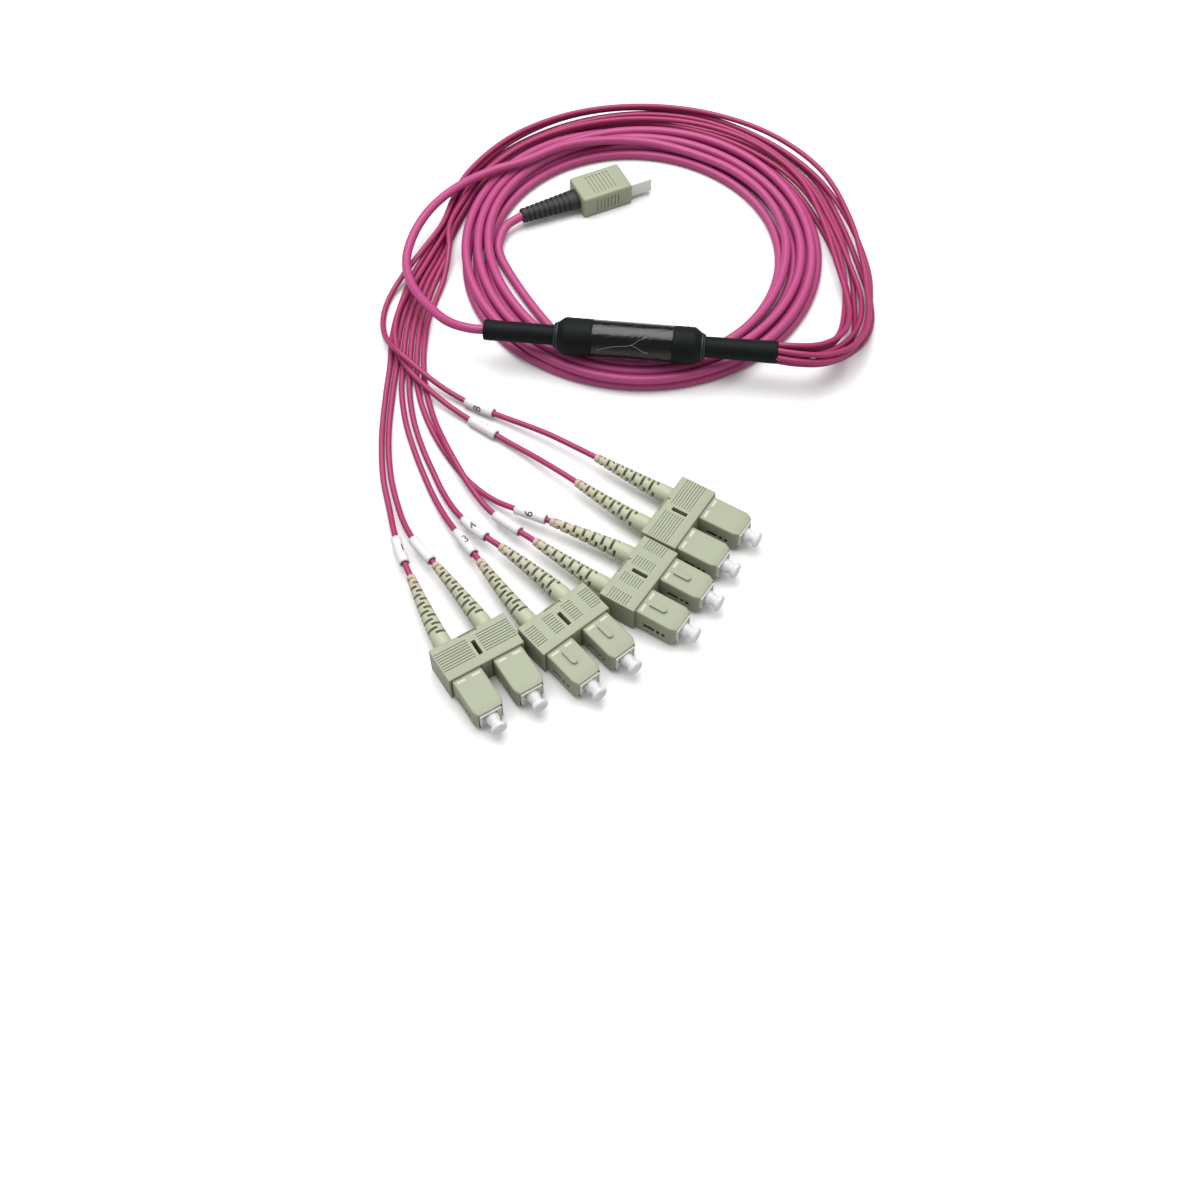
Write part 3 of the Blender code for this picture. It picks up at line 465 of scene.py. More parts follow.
# Marker sleeves: one soft off-white tube, 10 mm long, slipped over each leg, with a plain
# number printed on it so that the legs can be told apart.
MARKER_LENGTH = 10.0
MARKER_OUTSIDE = 3.1
MARKER_WALL = 0.35
MARKER_SETBACK = {"1a": 15.0, "1b": 11.5, "2a": 13.0, "2b": 15.5,
                  "3a": 15.5, "3b": 11.5, "4a": 42.0, "4b": 47.0}
MARKER_NUMBERS = {"1a": "1", "1b": "2", "2a": "3", "2b": "4",
                  "3a": "5", "3b": "6", "4a": "7", "4b": "8"}
MARKER_TURN = {"1a": 40, "1b": 105, "2a": 15, "2b": -10,
               "3a": 110, "3b": -35, "4a": 60, "4b": -60}
MARKER_STEP = 0.5
LINE_PAST_TIP = 2.7
NUMBER_SIZE = 3.7
NUMBER_WEIGHT = 0.05
INK_LIFT = 0.02


def add_piece(name, bm, finishes, body, place=None, smooth_degrees=32.0):
    """A finished bmesh, moved to its place, as a piece of the object that rides on a body."""
    if place is not None:
        bmesh.ops.transform(bm, matrix=place, verts=bm.verts)
    mesh = bpy.data.meshes.new(name)
    bm.to_mesh(mesh)
    bm.free()
    for finish in finishes:
        mesh.materials.append(finish)
    mesh.shade_smooth()
    mesh.set_sharp_from_angle(angle=math.radians(smooth_degrees))
    made = new_object(name, mesh)
    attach(made, body)
    return made


def ring_places(line):
    """For each point of a line, the turn and place of a ring square to it."""
    places = []
    for i, place in enumerate(line):
        ahead = line[min(i + 1, len(line) - 1)] - line[max(i - 1, 0)]
        turn = ahead.to_track_quat("Z", "Y").to_matrix().to_4x4()
        places.append(Matrix.Translation(spot(*place)) @ turn @ Matrix.Scale(MM, 4))
    return places


def grow_rim(bm, edges):
    """Extrude an open rim; returns its new corners and its new edges."""
    grown = bmesh.ops.extrude_edge_only(bm, edges=edges)["geom"]
    corners = [g for g in grown if isinstance(g, bmesh.types.BMVert)]
    return corners, [g for g in grown if isinstance(g, bmesh.types.BMEdge)]


def sleeve_on(line, diameter, segments):
    """A circle drawn along a line, open at both ends."""
    places = ring_places(line)
    bm = bmesh.new()
    bmesh.ops.create_circle(bm, segments=segments, radius=diameter / 2, matrix=places[0])
    ring = bm.edges[:]
    for before, after in zip(places, places[1:]):
        corners, ring = grow_rim(bm, ring)
        bmesh.ops.transform(bm, matrix=after @ before.inverted(), verts=corners)
    bmesh.ops.recalc_face_normals(bm, faces=bm.faces)
    return bm


marker_white = plastic("marker_white", (0.74, 0.735, 0.72), (0.67, 0.665, 0.65),
                       0.45, 1800.0, 0.02)
print_black = plastic("print_black", (0.030, 0.030, 0.034), (0.10, 0.10, 0.105),
                      0.6, 5200.0, 0.004, patch_scale=2400.0)
markers = {}
for tag, line in leg_lines.items():
    back = even_steps(line, MARKER_STEP)[::-1]
    first = round((MARKER_SETBACK[tag] - MARKER_LENGTH + LINE_PAST_TIP) / MARKER_STEP)
    last = first + round(MARKER_LENGTH / MARKER_STEP)
    stretch = even_steps(back[first:last + 1], 1.0)
    tube = sleeve_on(stretch, MARKER_OUTSIDE, 24)
    markers[tag] = add_piece("marker_sleeve_" + tag, tube, [marker_white], "cable")
    wall = markers[tag].modifiers.new("wall", "SOLIDIFY")
    wall.thickness = MARKER_WALL * MM
    wall.offset = -1.0
    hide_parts("marker_" + tag)
    letters = bpy.data.curves.new("number", "FONT")
    letters.body = MARKER_NUMBERS[tag]
    letters.size = NUMBER_SIZE
    letters.offset = NUMBER_WEIGHT
    letters.align_x = "CENTER"
    letters.align_y = "CENTER"
    written = bpy.data.objects.new("number", letters)
    flat = bpy.data.meshes.new_from_object(written)
    bpy.data.objects.remove(written)
    ink = bmesh.new()
    ink.from_mesh(flat)
    bpy.data.meshes.remove(flat)
    bmesh.ops.triangulate(ink, faces=ink.faces)
    bmesh.ops.subdivide_edges(ink, edges=[e for e in ink.edges if e.calc_length() > 0.3], cuts=3)
    level = MARKER_OUTSIDE / 2 + INK_LIFT
    for point in ink.verts:
        turn = point.co.x / level + math.radians(MARKER_TURN[tag])
        point.co = (-level * math.sin(turn), level * math.cos(turn), point.co.y)
    number = add_piece("marker_number_" + tag, ink, [print_black], "cable",
                       ring_places(stretch)[len(stretch) // 2])


# Breakout body: a hard round splitter under matt black heat-shrink tube, with a narrower
# sleeve shrunk on at each end.  A clear film is wrapped round its middle, and through it
# shows the pale thread where the fibres part.
BODY_RADIUS = 5.8
BODY_START = 22.0
BODY_END = 68.7
FILM_REACH = (34.0, 58.7)
FILM_WALL = 0.35
# The ends are conical, with two thin ridges where the tube's edge lies on the sleeve.
SHOULDER = [(-0.2, 3.2), (0.0, 3.85), (0.2, 4.0), (0.4, 3.88), (0.55, 3.95), (0.7, 4.2),
            (0.9, 4.26), (1.1, 4.22), (2.6, 5.35), (3.1, 5.68), (3.7, BODY_RADIUS)]
EDGE_RIDGES = ((0.0, 0.4), (0.7, 1.1))
SHRINK_WAVE = 0.035
THREAD_DIAMETER = 0.18
THREAD_LIFT = 0.11


def turned(profile, steps, closed=False):
    """A profile of (x, radius) points turned once round the x axis."""
    bm = bmesh.new()
    chain = [bm.verts.new((x, 0.0, radius)) for x, radius in profile]
    rim = [bm.edges.new(pair) for pair in zip(chain, chain[1:])]
    if closed:
        rim.append(bm.edges.new((chain[-1], chain[0])))
    bmesh.ops.spin(bm, geom=chain + rim, cent=(0.0, 0.0, 0.0), axis=(1.0, 0.0, 0.0),
                   angle=2 * math.pi, steps=steps, use_merge=True)
    bmesh.ops.remove_doubles(bm, verts=bm.verts, dist=1e-5)
    bmesh.ops.recalc_face_normals(bm, faces=bm.faces)
    return bm


def shrink_wave(start, end, first, last):
    """A shrunk tube's outline: its radius goes from first to last with a faint wave."""
    points = []
    for i in range(1, 12):
        share = i / 12
        wave = SHRINK_WAVE * math.sin(17.0 * share + start)
        points.append((start + (end - start) * share, first + (last - first) * share + wave))
    return points


def on_breakout():
    return (Matrix.Translation(spot(*BREAKOUT_END) + Vector((0.0, 0.0, BREAKOUT_Z * MM)))
            @ Matrix.Rotation(BREAKOUT_HEADING, 4, "Z") @ Matrix.Scale(MM, 4))


shrink_black = plastic("shrink_black", (0.006, 0.008, 0.008), (0.011, 0.013, 0.013),
                       0.48, 4200.0, 0.10, patch_scale=900.0, gloss=0.10)
# Nearly black: painted shade for the hollows of the clips, grips and far plug's nose; it also
# colours the flat ferrule's front face.
shade_black = plastic("shade_black", (0.008, 0.008, 0.008), (0.012, 0.012, 0.012),
                       0.7, 2000.0, 0.02, gloss=0.2)
edge_grey = plastic("edge_grey", (0.045, 0.052, 0.050), (0.030, 0.035, 0.034),
                    0.45, 5200.0, 0.03, gloss=0.4)
thread_pale = plastic("thread_pale", (0.86, 0.82, 0.72), (0.74, 0.70, 0.60), 0.5, 5200.0, 0.01)

# The band under the film is nearly black and hardly glossy, and has long fine wrinkles.
band_black = plastic("band_black", (0.003, 0.003, 0.004), (0.006, 0.007, 0.007),
                     0.30, 2400.0, 0.20, patch_scale=2600.0, gloss=0.04)
band_nodes = band_black.node_tree
wrinkles = band_nodes.nodes.new("ShaderNodeTexNoise")
wrinkles.inputs["Scale"].default_value = 2200.0
wrinkles.inputs["Detail"].default_value = 5.0
wrinkle_place = band_nodes.nodes.new("ShaderNodeMapping")
wrinkle_place.inputs["Rotation"].default_value = (0.0, 0.0, -BREAKOUT_HEADING)
wrinkle_place.inputs["Scale"].default_value = (0.4, 1.0, 1.0)
band_place = band_nodes.nodes.new("ShaderNodeTexCoord")
band_nodes.links.new(band_place.outputs["Object"], wrinkle_place.inputs["Vector"])
band_nodes.links.new(wrinkle_place.outputs["Vector"], wrinkles.inputs["Vector"])
add_relief(band_black, wrinkles.outputs["Fac"], 0.4, 0.9)

film_start, film_end = FILM_REACH
sunk = BODY_RADIUS - FILM_WALL - 0.02
cone = SHOULDER[-1][0]
profile = [(BODY_START - 0.2, 0.0)] + [(BODY_START + x, radius) for x, radius in SHOULDER]
profile += shrink_wave(BODY_START + cone, film_start - 0.3, BODY_RADIUS, BODY_RADIUS)
profile += [(film_start - 0.3, BODY_RADIUS), (film_start - 0.1, BODY_RADIUS - 0.1),
            (film_start - 0.1, sunk), (film_end + 0.1, sunk),
            (film_end + 0.1, BODY_RADIUS - 0.1), (film_end + 0.3, BODY_RADIUS)]
profile += shrink_wave(film_end + 0.3, BODY_END - cone, BODY_RADIUS, BODY_RADIUS)
profile += [(BODY_END - x, radius) for x, radius in reversed(SHOULDER)] + [(BODY_END + 0.2, 0.0)]
shell_bm = turned(profile, 64)
for face in shell_bm.faces:
    middle = face.calc_center_median().x
    inward = min(middle - BODY_START, BODY_END - middle)
    if film_start < middle < film_end:
        face.material_index = 1
    elif any(first < inward < last for first, last in EDGE_RIDGES):
        face.material_index = 2
shell = add_piece("breakout_shell", shell_bm, [shrink_black, band_black, edge_grey], "cable",
                  on_breakout(), 40.0)
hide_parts("breakout_body")

# The sleeves are open at their outer ends, where the cables go in.
trunk_side = [(2.0, 0.0), (2.0, 1.75), (0.15, 1.75), (0.0, 1.95), (0.0, 2.95), (0.3, 3.2)]
trunk_side += shrink_wave(0.3, 21.9, 3.2, 3.1) + [(22.1, 3.1), (22.1, 0.0)]
leg_side = [(68.6, 0.0), (68.6, 3.2)] + shrink_wave(68.6, 90.8, 3.2, 3.5)
leg_side += [(90.85, 3.5), (91.0, 3.45), (91.0, 3.40), (90.9, 3.37), (89.0, 3.37), (89.0, 0.0)]
for name, node, profile in (("trunk_side_sleeve", "sleeve_trunk_side", trunk_side),
                            ("leg_side_sleeve", "sleeve_leg_side", leg_side)):
    sleeve = add_piece(name, turned(profile, 56), [shrink_black], "cable", on_breakout(), 45.0)
    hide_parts(node)

# The film is clear and glossy, with faint wrinkles that break up what it mirrors.
clear_film = bpy.data.materials.new("clear_film")
clear_film.use_nodes = True
film_shader = clear_film.node_tree.nodes["Principled BSDF"]
film_shader.inputs["Base Color"].default_value = (0.005, 0.005, 0.005, 1.0)
film_shader.inputs["Roughness"].default_value = 0.07
film_shader.inputs["IOR"].default_value = 1.7
film_shader.inputs["Alpha"].default_value = 0.55
film_grain = add_grain(clear_film.node_tree.nodes, 1300.0, 160.0)
add_relief(clear_film, film_grain.outputs["Grain"], 0.22, 0.7)
film_bm = turned([(film_start, BODY_RADIUS), (film_end, BODY_RADIUS),
                  (film_end, BODY_RADIUS - FILM_WALL), (film_start, BODY_RADIUS - FILM_WALL)],
                 64, closed=True)
film = add_piece("window_film", film_bm, [clear_film], "cable", on_breakout(), 45.0)
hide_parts("window_wrap")

# Each thread is (along the body, degrees round it from the top towards the front).
FORK = {"fork_thread_long": [(35.7, 82.0), (40.5, 66.0), (46.2, 56.0), (48.6, 38.0), (50.6, 27.0)],
        "fork_thread_short": [(46.2, 56.0), (48.0, 64.0), (49.6, 75.0), (51.6, 80.0)]}
for name, stations in FORK.items():
    places = []
    for along, degrees in stations:
        turn = math.radians(degrees)
        level = sunk + THREAD_LIFT
        places.append(Vector((along, -level * math.sin(turn), level * math.cos(turn))))
    strand = [on_breakout() @ place / MM + PLAN_MIDDLE for place in smooth_route(places, 0.4)]
    thread = cable(name, strand, THREAD_DIAMETER, thread_pale)
    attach(thread, "cable")


# Clips: one beige plastic clip holds two connectors side by side.  It has two square
# passages for the grips, a slot in the middle of its top, and fine finger ridges.
CLIP_DEPTH = 11.3
CLIP_HALF_WIDTH = 11.75
CLIP_HEIGHT = 9.2
CLIP_BACK_WALL = 0.6
PASSAGE = (1.55, 11.15, 0.6, 8.6)
BOOT_HOLE_RADIUS = 2.95
BOOT_HOLE_SQUARE = ((3.2, 9.5), (1.45, 7.75))
SLOT_REACH = (3.4, 8.4)
SLOT_HALF_WIDTH = 0.65
SLOT_DEPTH = 4.0
NOTCH_REACH = (0.2, 1.35)
NOTCH_HALF_WIDTH = 2.9
NOTCH_DEPTH = 0.45
RIDGE_ROWS = [2.1 + 0.84 * k for k in range(8)]
RIDGE_WIDTH = 0.34
RIDGE_DEPTH = 0.32
PLAIN_RIDGES = ((1.5, 11.4),)
SPLIT_RIDGES = ((1.6, 5.0), (7.7, 11.3))
CLIP_RIDGES = {"1": PLAIN_RIDGES, "2": SPLIT_RIDGES, "3": SPLIT_RIDGES, "4": PLAIN_RIDGES}


def on_pair(pair, side=0.0, height=0.0):
    place, degrees = PAIRS[pair]
    return (Matrix.Translation(spot(*place, 0.0)) @ Matrix.Rotation(math.radians(degrees), 4, "Z")
            @ Matrix.Scale(MM, 4) @ Matrix.Translation((0.0, side, height)))


def round_edges(bm, edges, offset, segments):
    bmesh.ops.bevel(bm, geom=edges, offset=offset, segments=segments, profile=0.5,
                    affect="EDGES", material=-1)
    bm.normal_update()


def add_block(bm, low, high):
    """A box between two corners, in the bmesh; returns its corners."""
    size = [b - a for a, b in zip(low, high)]
    middle = [(a + b) / 2 for a, b in zip(low, high)]
    corners = bmesh.ops.create_cube(bm, size=1.0)["verts"]
    bmesh.ops.scale(bm, vec=size, verts=corners)
    bmesh.ops.translate(bm, vec=middle, verts=corners)
    return corners


def slice_at(bm, axis, values):
    square = Vector((0.0, 0.0, 0.0))
    square[axis] = 1.0
    for value in values:
        bmesh.ops.bisect_plane(bm, geom=bm.verts[:] + bm.edges[:] + bm.faces[:], dist=1e-4,
                               plane_co=square * value, plane_no=square)
    bm.normal_update()


def extrude_faces(bm, faces, finish):
    """Extrude faces and drop the ones they came from; returns the new corners and faces."""
    grown = bmesh.ops.extrude_face_region(bm, geom=faces)["geom"]
    bmesh.ops.delete(bm, geom=faces, context="FACES")
    pressed = [g for g in grown if isinstance(g, bmesh.types.BMFace)]
    for face in pressed:
        face.material_index = finish
    return [g for g in grown if isinstance(g, bmesh.types.BMVert)], pressed


def sink(bm, axis, level, reaches, depth, finish=0):
    """Press in, by depth, the faces at a level of one axis within reaches of the other two."""
    outward = Vector((0.0, 0.0, 0.0))
    outward[axis] = math.copysign(1.0, level)
    others = [k for k in range(3) if k != axis]
    chosen = []
    for face in bm.faces:
        middle = face.calc_center_median()
        inside = all(low < middle[k] < high for k, (low, high) in zip(others, reaches))
        if inside and abs(middle[axis] - level) < 0.1 and face.normal.dot(outward) > 0.95:
            chosen.append(face)
    corners, pressed = extrude_faces(bm, chosen, finish)
    bmesh.ops.translate(bm, vec=-outward * depth, verts=corners)
    bm.normal_update()
    return pressed


def round_hole(bm, face, radius, depth, finish=0):
    """Make one square face a round hole of a radius and depth, with a flat floor."""
    facing = face.normal.copy()
    centre = face.calc_center_median()
    rim = face.edges[:]
    bmesh.ops.delete(bm, geom=[face], context="FACES_ONLY")
    cut = bmesh.ops.subdivide_edges(bm, edges=rim, cuts=7)
    around = set(v for edge in rim for v in edge.verts)
    around |= set(g for g in cut["geom_inner"] if isinstance(g, bmesh.types.BMVert))
    square = [e for e in bm.edges if e.is_boundary and set(e.verts) <= around]
    corners, ring = grow_rim(bm, square)
    for corner in corners:
        corner.co = centre + (corner.co - centre).normalized() * radius
    corners, ring = grow_rim(bm, ring)
    bmesh.ops.translate(bm, vec=-facing * depth, verts=corners)
    bmesh.ops.edgeloop_fill(bm, edges=ring, mat_nr=finish)
    bmesh.ops.recalc_face_normals(bm, faces=bm.faces)
    bm.normal_update()


def edge_group():
    """A mask that is 1 along a moulded piece's corners, where a paler colour is painted on as a
    highlight.
    """
    group = bpy.data.node_groups.new("painted_edge_highlight", "ShaderNodeTree")
    group.interface.new_socket("Radius", in_out="INPUT", socket_type="NodeSocketFloat")
    group.interface.new_socket("Edges", in_out="OUTPUT", socket_type="NodeSocketFloat")
    inward = group.nodes.new("NodeGroupInput")
    outward = group.nodes.new("NodeGroupOutput")
    flat = group.nodes.new("ShaderNodeNewGeometry")
    rounded = group.nodes.new("ShaderNodeBevel")
    rounded.samples = 6
    apart = group.nodes.new("ShaderNodeVectorMath")
    apart.operation = "DOT_PRODUCT"
    mask = group.nodes.new("ShaderNodeMapRange")
    mask.inputs["From Min"].default_value = 0.995
    mask.inputs["From Max"].default_value = 0.90
    group.links.new(inward.outputs["Radius"], rounded.inputs["Radius"])
    group.links.new(flat.outputs["Normal"], apart.inputs[0])
    group.links.new(rounded.outputs["Normal"], apart.inputs[1])
    group.links.new(apart.outputs["Value"], mask.inputs["Value"])
    group.links.new(mask.outputs["Result"], outward.inputs["Edges"])
    return group


painted_edge_highlight = edge_group()
housing_beige = plastic("housing_beige", (0.335, 0.360, 0.252), (0.300, 0.325, 0.225),
                        0.42, 1500.0, 0.02, gloss=0.4)
housing_nodes, housing_links = housing_beige.node_tree.nodes, housing_beige.node_tree.links
# The beige is mixed paler along the corners: a painted highlight on the edges.
edge_highlight_node = housing_nodes.new("ShaderNodeGroup")
edge_highlight_node.node_tree = painted_edge_highlight
edge_highlight_node.inputs["Radius"].default_value = 0.3 * MM
paler = colour_mix(housing_nodes, (0.335, 0.360, 0.252), (0.52, 0.55, 0.43))
share_of_edge = housing_nodes.new("ShaderNodeMath")
share_of_edge.operation = "MULTIPLY"
share_of_edge.inputs[1].default_value = 0.45
housing_links.new(edge_highlight_node.outputs["Edges"], share_of_edge.inputs[0])
housing_links.new(share_of_edge.outputs["Value"], paler.inputs[0])
housing_links.new(housing_nodes["drift"].outputs[2], paler.inputs[6])
housing_links.new(paler.outputs[2], housing_nodes["Principled BSDF"].inputs["Base Color"])
for pair in PAIRS:
    bm = bmesh.new()
    add_block(bm, (0.0, -CLIP_HALF_WIDTH, 0.0), (CLIP_DEPTH, CLIP_HALF_WIDTH, CLIP_HEIGHT))
    round_edges(bm, bm.edges[:], 0.25, 3)
    near, far, low, high = PASSAGE
    slice_at(bm, 1, (-far, -near, near, far))
    slice_at(bm, 2, (low, high))
    for reach in ((-far, -near), (near, far)):
        sink(bm, 0, CLIP_DEPTH, (reach, (low, high)), CLIP_DEPTH - CLIP_BACK_WALL)
    # The floors of the boot holes and the inside of the top slot get the nearly black painted
    # shade.
    across, upright = BOOT_HOLE_SQUARE
    slice_at(bm, 1, [toward * y for toward in (-1, 1) for y in across])
    slice_at(bm, 2, upright)
    for toward in (-1, 1):
        middle = Vector((0.0, toward * CONNECTOR_PITCH / 2, CONNECTOR_Z))
        behind = [f for f in bm.faces if f.normal.x < -0.9]
        square = min(behind, key=lambda f: (f.calc_center_median() - middle).length)
        round_hole(bm, square, BOOT_HOLE_RADIUS, 0.5, finish=1)
    slot_sides = (-SLOT_HALF_WIDTH, SLOT_HALF_WIDTH)
    slice_at(bm, 0, SLOT_REACH)
    slice_at(bm, 1, slot_sides)
    sink(bm, 2, CLIP_HEIGHT, (SLOT_REACH, slot_sides), SLOT_DEPTH, finish=1)
    notch_sides = (-NOTCH_HALF_WIDTH, NOTCH_HALF_WIDTH)
    slice_at(bm, 0, NOTCH_REACH[1:])
    slice_at(bm, 1, notch_sides)
    sink(bm, 2, CLIP_HEIGHT, (NOTCH_REACH, notch_sides), NOTCH_DEPTH)
    ridges = [sorted(toward * y for y in reach) for toward in (-1, 1)
              for reach in CLIP_RIDGES[pair]]
    slice_at(bm, 0, [x for row in RIDGE_ROWS for x in (row, row + RIDGE_WIDTH)])
    slice_at(bm, 1, [y for ridge in ridges for y in ridge])
    for ridge in ridges:
        for row in RIDGE_ROWS:
            sink(bm, 2, CLIP_HEIGHT, ((row, row + RIDGE_WIDTH), ridge), RIDGE_DEPTH)
    clip = add_piece("duplex_clip_" + pair, bm, [housing_beige, shade_black], "grips_" + pair,
                     on_pair(pair))
    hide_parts("clip_" + pair)


# Grips: the beige sliding housing of each connector.  Its front corners are cut back, it
# has a long window low in each side and two small light marks by the clip, and the second
# and third pairs carry a raised key on top.
GRIP_REACH = (0.9, 24.0)
GRIP_HALF = (4.5, 3.7)
GRIP_NOSE_START = 22.4
GRIP_NOSE = (3.7, 3.4)
GRIP_RIM = 0.18
GRIP_BORE_DEPTH = 12.0
GRIP_WINDOWS = ((14.0, 17.6), (18.2, 19.3), (19.9, 21.0))
GRIP_WINDOW_HEIGHTS = (-1.9, -0.3)
GRIP_WINDOW_DEPTH = 0.45
MARK_REACH = (12.1, 12.85)
MARKS = ((-3.5, -1.0), (1.0, 3.5))
MARK_DEPTH = 0.06
KEY_BLOCK = ((13.6, -0.95, 3.55), (18.7, 0.95, 4.45))


def on_connector(tag):
    return on_pair(tag[0], side_of(tag), CONNECTOR_Z)


def inset_front(bm, thickness):
    """Draw a rim of a thickness inside a block's front face."""
    front = [f for f in bm.faces if f.normal.x > 0.99]
    bmesh.ops.inset_region(bm, faces=front, thickness=thickness, use_even_offset=True,
                           use_boundary=True)
    bm.normal_update()


marks_white = plastic("marks_white", (0.60, 0.62, 0.54), (0.46, 0.48, 0.39), 0.5, 1500.0, 0.02,
                      patch_scale=1800.0)
for tag in BUNDLE_SEATS:
    bm = bmesh.new()
    back, front = GRIP_REACH
    half_width, half_height = GRIP_HALF
    add_block(bm, (back, -half_width, -half_height), (front, half_width, half_height))
    long_edges = [e for e in bm.edges if abs(e.verts[0].co.x - e.verts[1].co.x) > 1.0]
    round_edges(bm, long_edges, 0.5, 4)
    slice_at(bm, 0, (GRIP_NOSE_START,))
    nose = [v for v in bm.verts if v.co.x > front - 0.1]
    narrower = (1.0, GRIP_NOSE[0] / half_width, GRIP_NOSE[1] / half_height)
    bmesh.ops.scale(bm, vec=narrower, verts=nose)
    bm.normal_update()
    inset_front(bm, GRIP_RIM)
    # The bore and the side windows get the nearly black painted shade.
    sink(bm, 0, front, ((-4.0, 4.0), (-0.5, 0.5)), GRIP_BORE_DEPTH, finish=2)
    slice_at(bm, 0, [x for window in GRIP_WINDOWS for x in window])
    slice_at(bm, 2, GRIP_WINDOW_HEIGHTS)
    for toward in (-1, 1):
        for window in GRIP_WINDOWS:
            sink(bm, 1, toward * half_width, (window, GRIP_WINDOW_HEIGHTS), GRIP_WINDOW_DEPTH,
                 finish=2)
    slice_at(bm, 0, MARK_REACH)
    slice_at(bm, 1, [y for mark in MARKS for y in mark])
    for mark in MARKS:
        sink(bm, 2, half_height, (MARK_REACH, mark), MARK_DEPTH, finish=1)
    if tag[0] in "23":
        key = add_block(bm, *KEY_BLOCK)
        upright = [e for e in bm.edges if e.verts[0] in key and e.verts[0].co.x > 18.0
                   and abs(e.verts[0].co.z - e.verts[1].co.z) > 0.5]
        round_edges(bm, upright, 0.9, 7)
        round_edges(bm, [e for e in bm.edges if min(v.co.z for v in e.verts) > 4.1], 0.12, 2)
    add_piece("grip_shell_" + tag, bm, [housing_beige, marks_white, shade_black],
                           "grips_" + tag[0], on_connector(tag))
    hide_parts("grip_" + tag)


# Plug frames: the off-white inner body of each connector, with a round bore in its front
# where the white ceramic ferrule stands.
FRAME_REACH = (4.0, 24.5)
FRAME_HALF = (3.3, 2.5)
FRAME_RIM = 0.13
BORE_RADIUS = 2.15
BORE_DEPTH = 7.4
FERRULE_REACH = (16.7, 24.0)
FERRULE_RADIUS = 1.25
frame_white = plastic("frame_white", (0.78, 0.79, 0.72), (0.72, 0.73, 0.66), 0.45, 1500.0, 0.01)
frame_shade = plastic("frame_shade", (0.40, 0.41, 0.34), (0.34, 0.35, 0.29), 0.5, 1500.0, 0.02)
ceramic = plastic("ceramic", (0.86, 0.86, 0.84), (0.82, 0.82, 0.80), 0.16, 1500.0, 0.002)
for tag in BUNDLE_SEATS:
    bm = bmesh.new()
    back, front = FRAME_REACH
    half_width, half_height = FRAME_HALF
    add_block(bm, (back, -half_width, -half_height), (front, half_width, half_height))
    round_edges(bm, bm.edges[:], 0.12, 2)
    inset_front(bm, FRAME_RIM)
    hollow = sink(bm, 0, front, ((-0.5, 0.5), (-0.5, 0.5)), 0.5, finish=1)
    round_hole(bm, hollow[0], BORE_RADIUS, BORE_DEPTH, finish=1)
    plug_frame = add_piece("plug_frame_" + tag, bm, [frame_white, frame_shade], "cable",
                           on_connector(tag))
    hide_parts("frame_" + tag)
    back, front = FERRULE_REACH
    pin = turned([(back, 0.0), (back, FERRULE_RADIUS), (front - 0.4, FERRULE_RADIUS),
                  (front - 0.15, FERRULE_RADIUS - 0.12), (front, FERRULE_RADIUS - 0.35),
                  (front, 0.0)], 32)
    ferrule = add_piece("ferrule_" + tag, pin, [ceramic], "cable", on_connector(tag))


# Dust caps: soft milky plastic caps on the ferrules.  Each is a short tube, closed at the
# front, with a waist and a round flange to pull it off by.
CAP_OUTLINE = [(24.8, 0.0), (24.8, 1.5), (24.6, 1.55), (18.5, 1.55), (18.5, 1.9), (18.8, 1.95),
               (24.9, 1.95), (25.6, 1.9), (26.2, 1.7), (26.8, 1.55), (27.2, 1.55), (27.5, 1.75),
               (27.7, 2.1), (27.9, 2.32), (28.25, 2.4), (28.65, 2.35), (28.9, 2.15),
               (29.0, 1.8), (28.95, 0.9), (28.9, 0.0)]
cap_milky = plastic("cap_milky", (0.91, 0.925, 0.925), (0.87, 0.885, 0.885), 0.34, 900.0, 0.004)
cap_shader = cap_milky.node_tree.nodes["Principled BSDF"]
cap_shader.inputs["Transmission Weight"].default_value = 0.3
cap_shader.inputs["IOR"].default_value = 1.4
cap_shader.inputs["Subsurface Weight"].default_value = 0.8
cap_shader.inputs["Subsurface Scale"].default_value = 1.0
cap_shader.inputs["Subsurface Radius"].default_value = (1.2 * MM, 1.2 * MM, 1.3 * MM)
for tag in BUNDLE_SEATS:
    cap = add_piece("cap_" + tag + "_milky", turned(CAP_OUTLINE, 40), [cap_milky], "cap_" + tag,
                    on_connector(tag), 60.0)
    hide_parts("dust_cap_" + tag)


# Boots: soft tapered strain reliefs behind the connectors.  A smooth collar is followed by
# rows of two opposite slots, each row a quarter turn from the one before, so that the boot
# bends with its leg.
BOOT_FRONT = 3.7
BOOT_ROWS = 14
BOOT_FIRST_ROW = -4.9
BOOT_ROW_PITCH = 1.54
BOOT_SLOT = 0.85
BOOT_SLOT_DEPTH = 1.3
BOOT_SLOT_HALF_TURN = math.radians(57)
BOOT_CORE = 0.42
BOOT_BASE_RADIUS = 2.65
BOOT_TIP_RADIUS = 1.3
BOOT_SIDES = 48
BOOT_ROLL = {"1a": 45, "1b": 45, "2a": 38, "2b": 75, "3a": 70, "3b": 80, "4a": 60, "4b": 60}


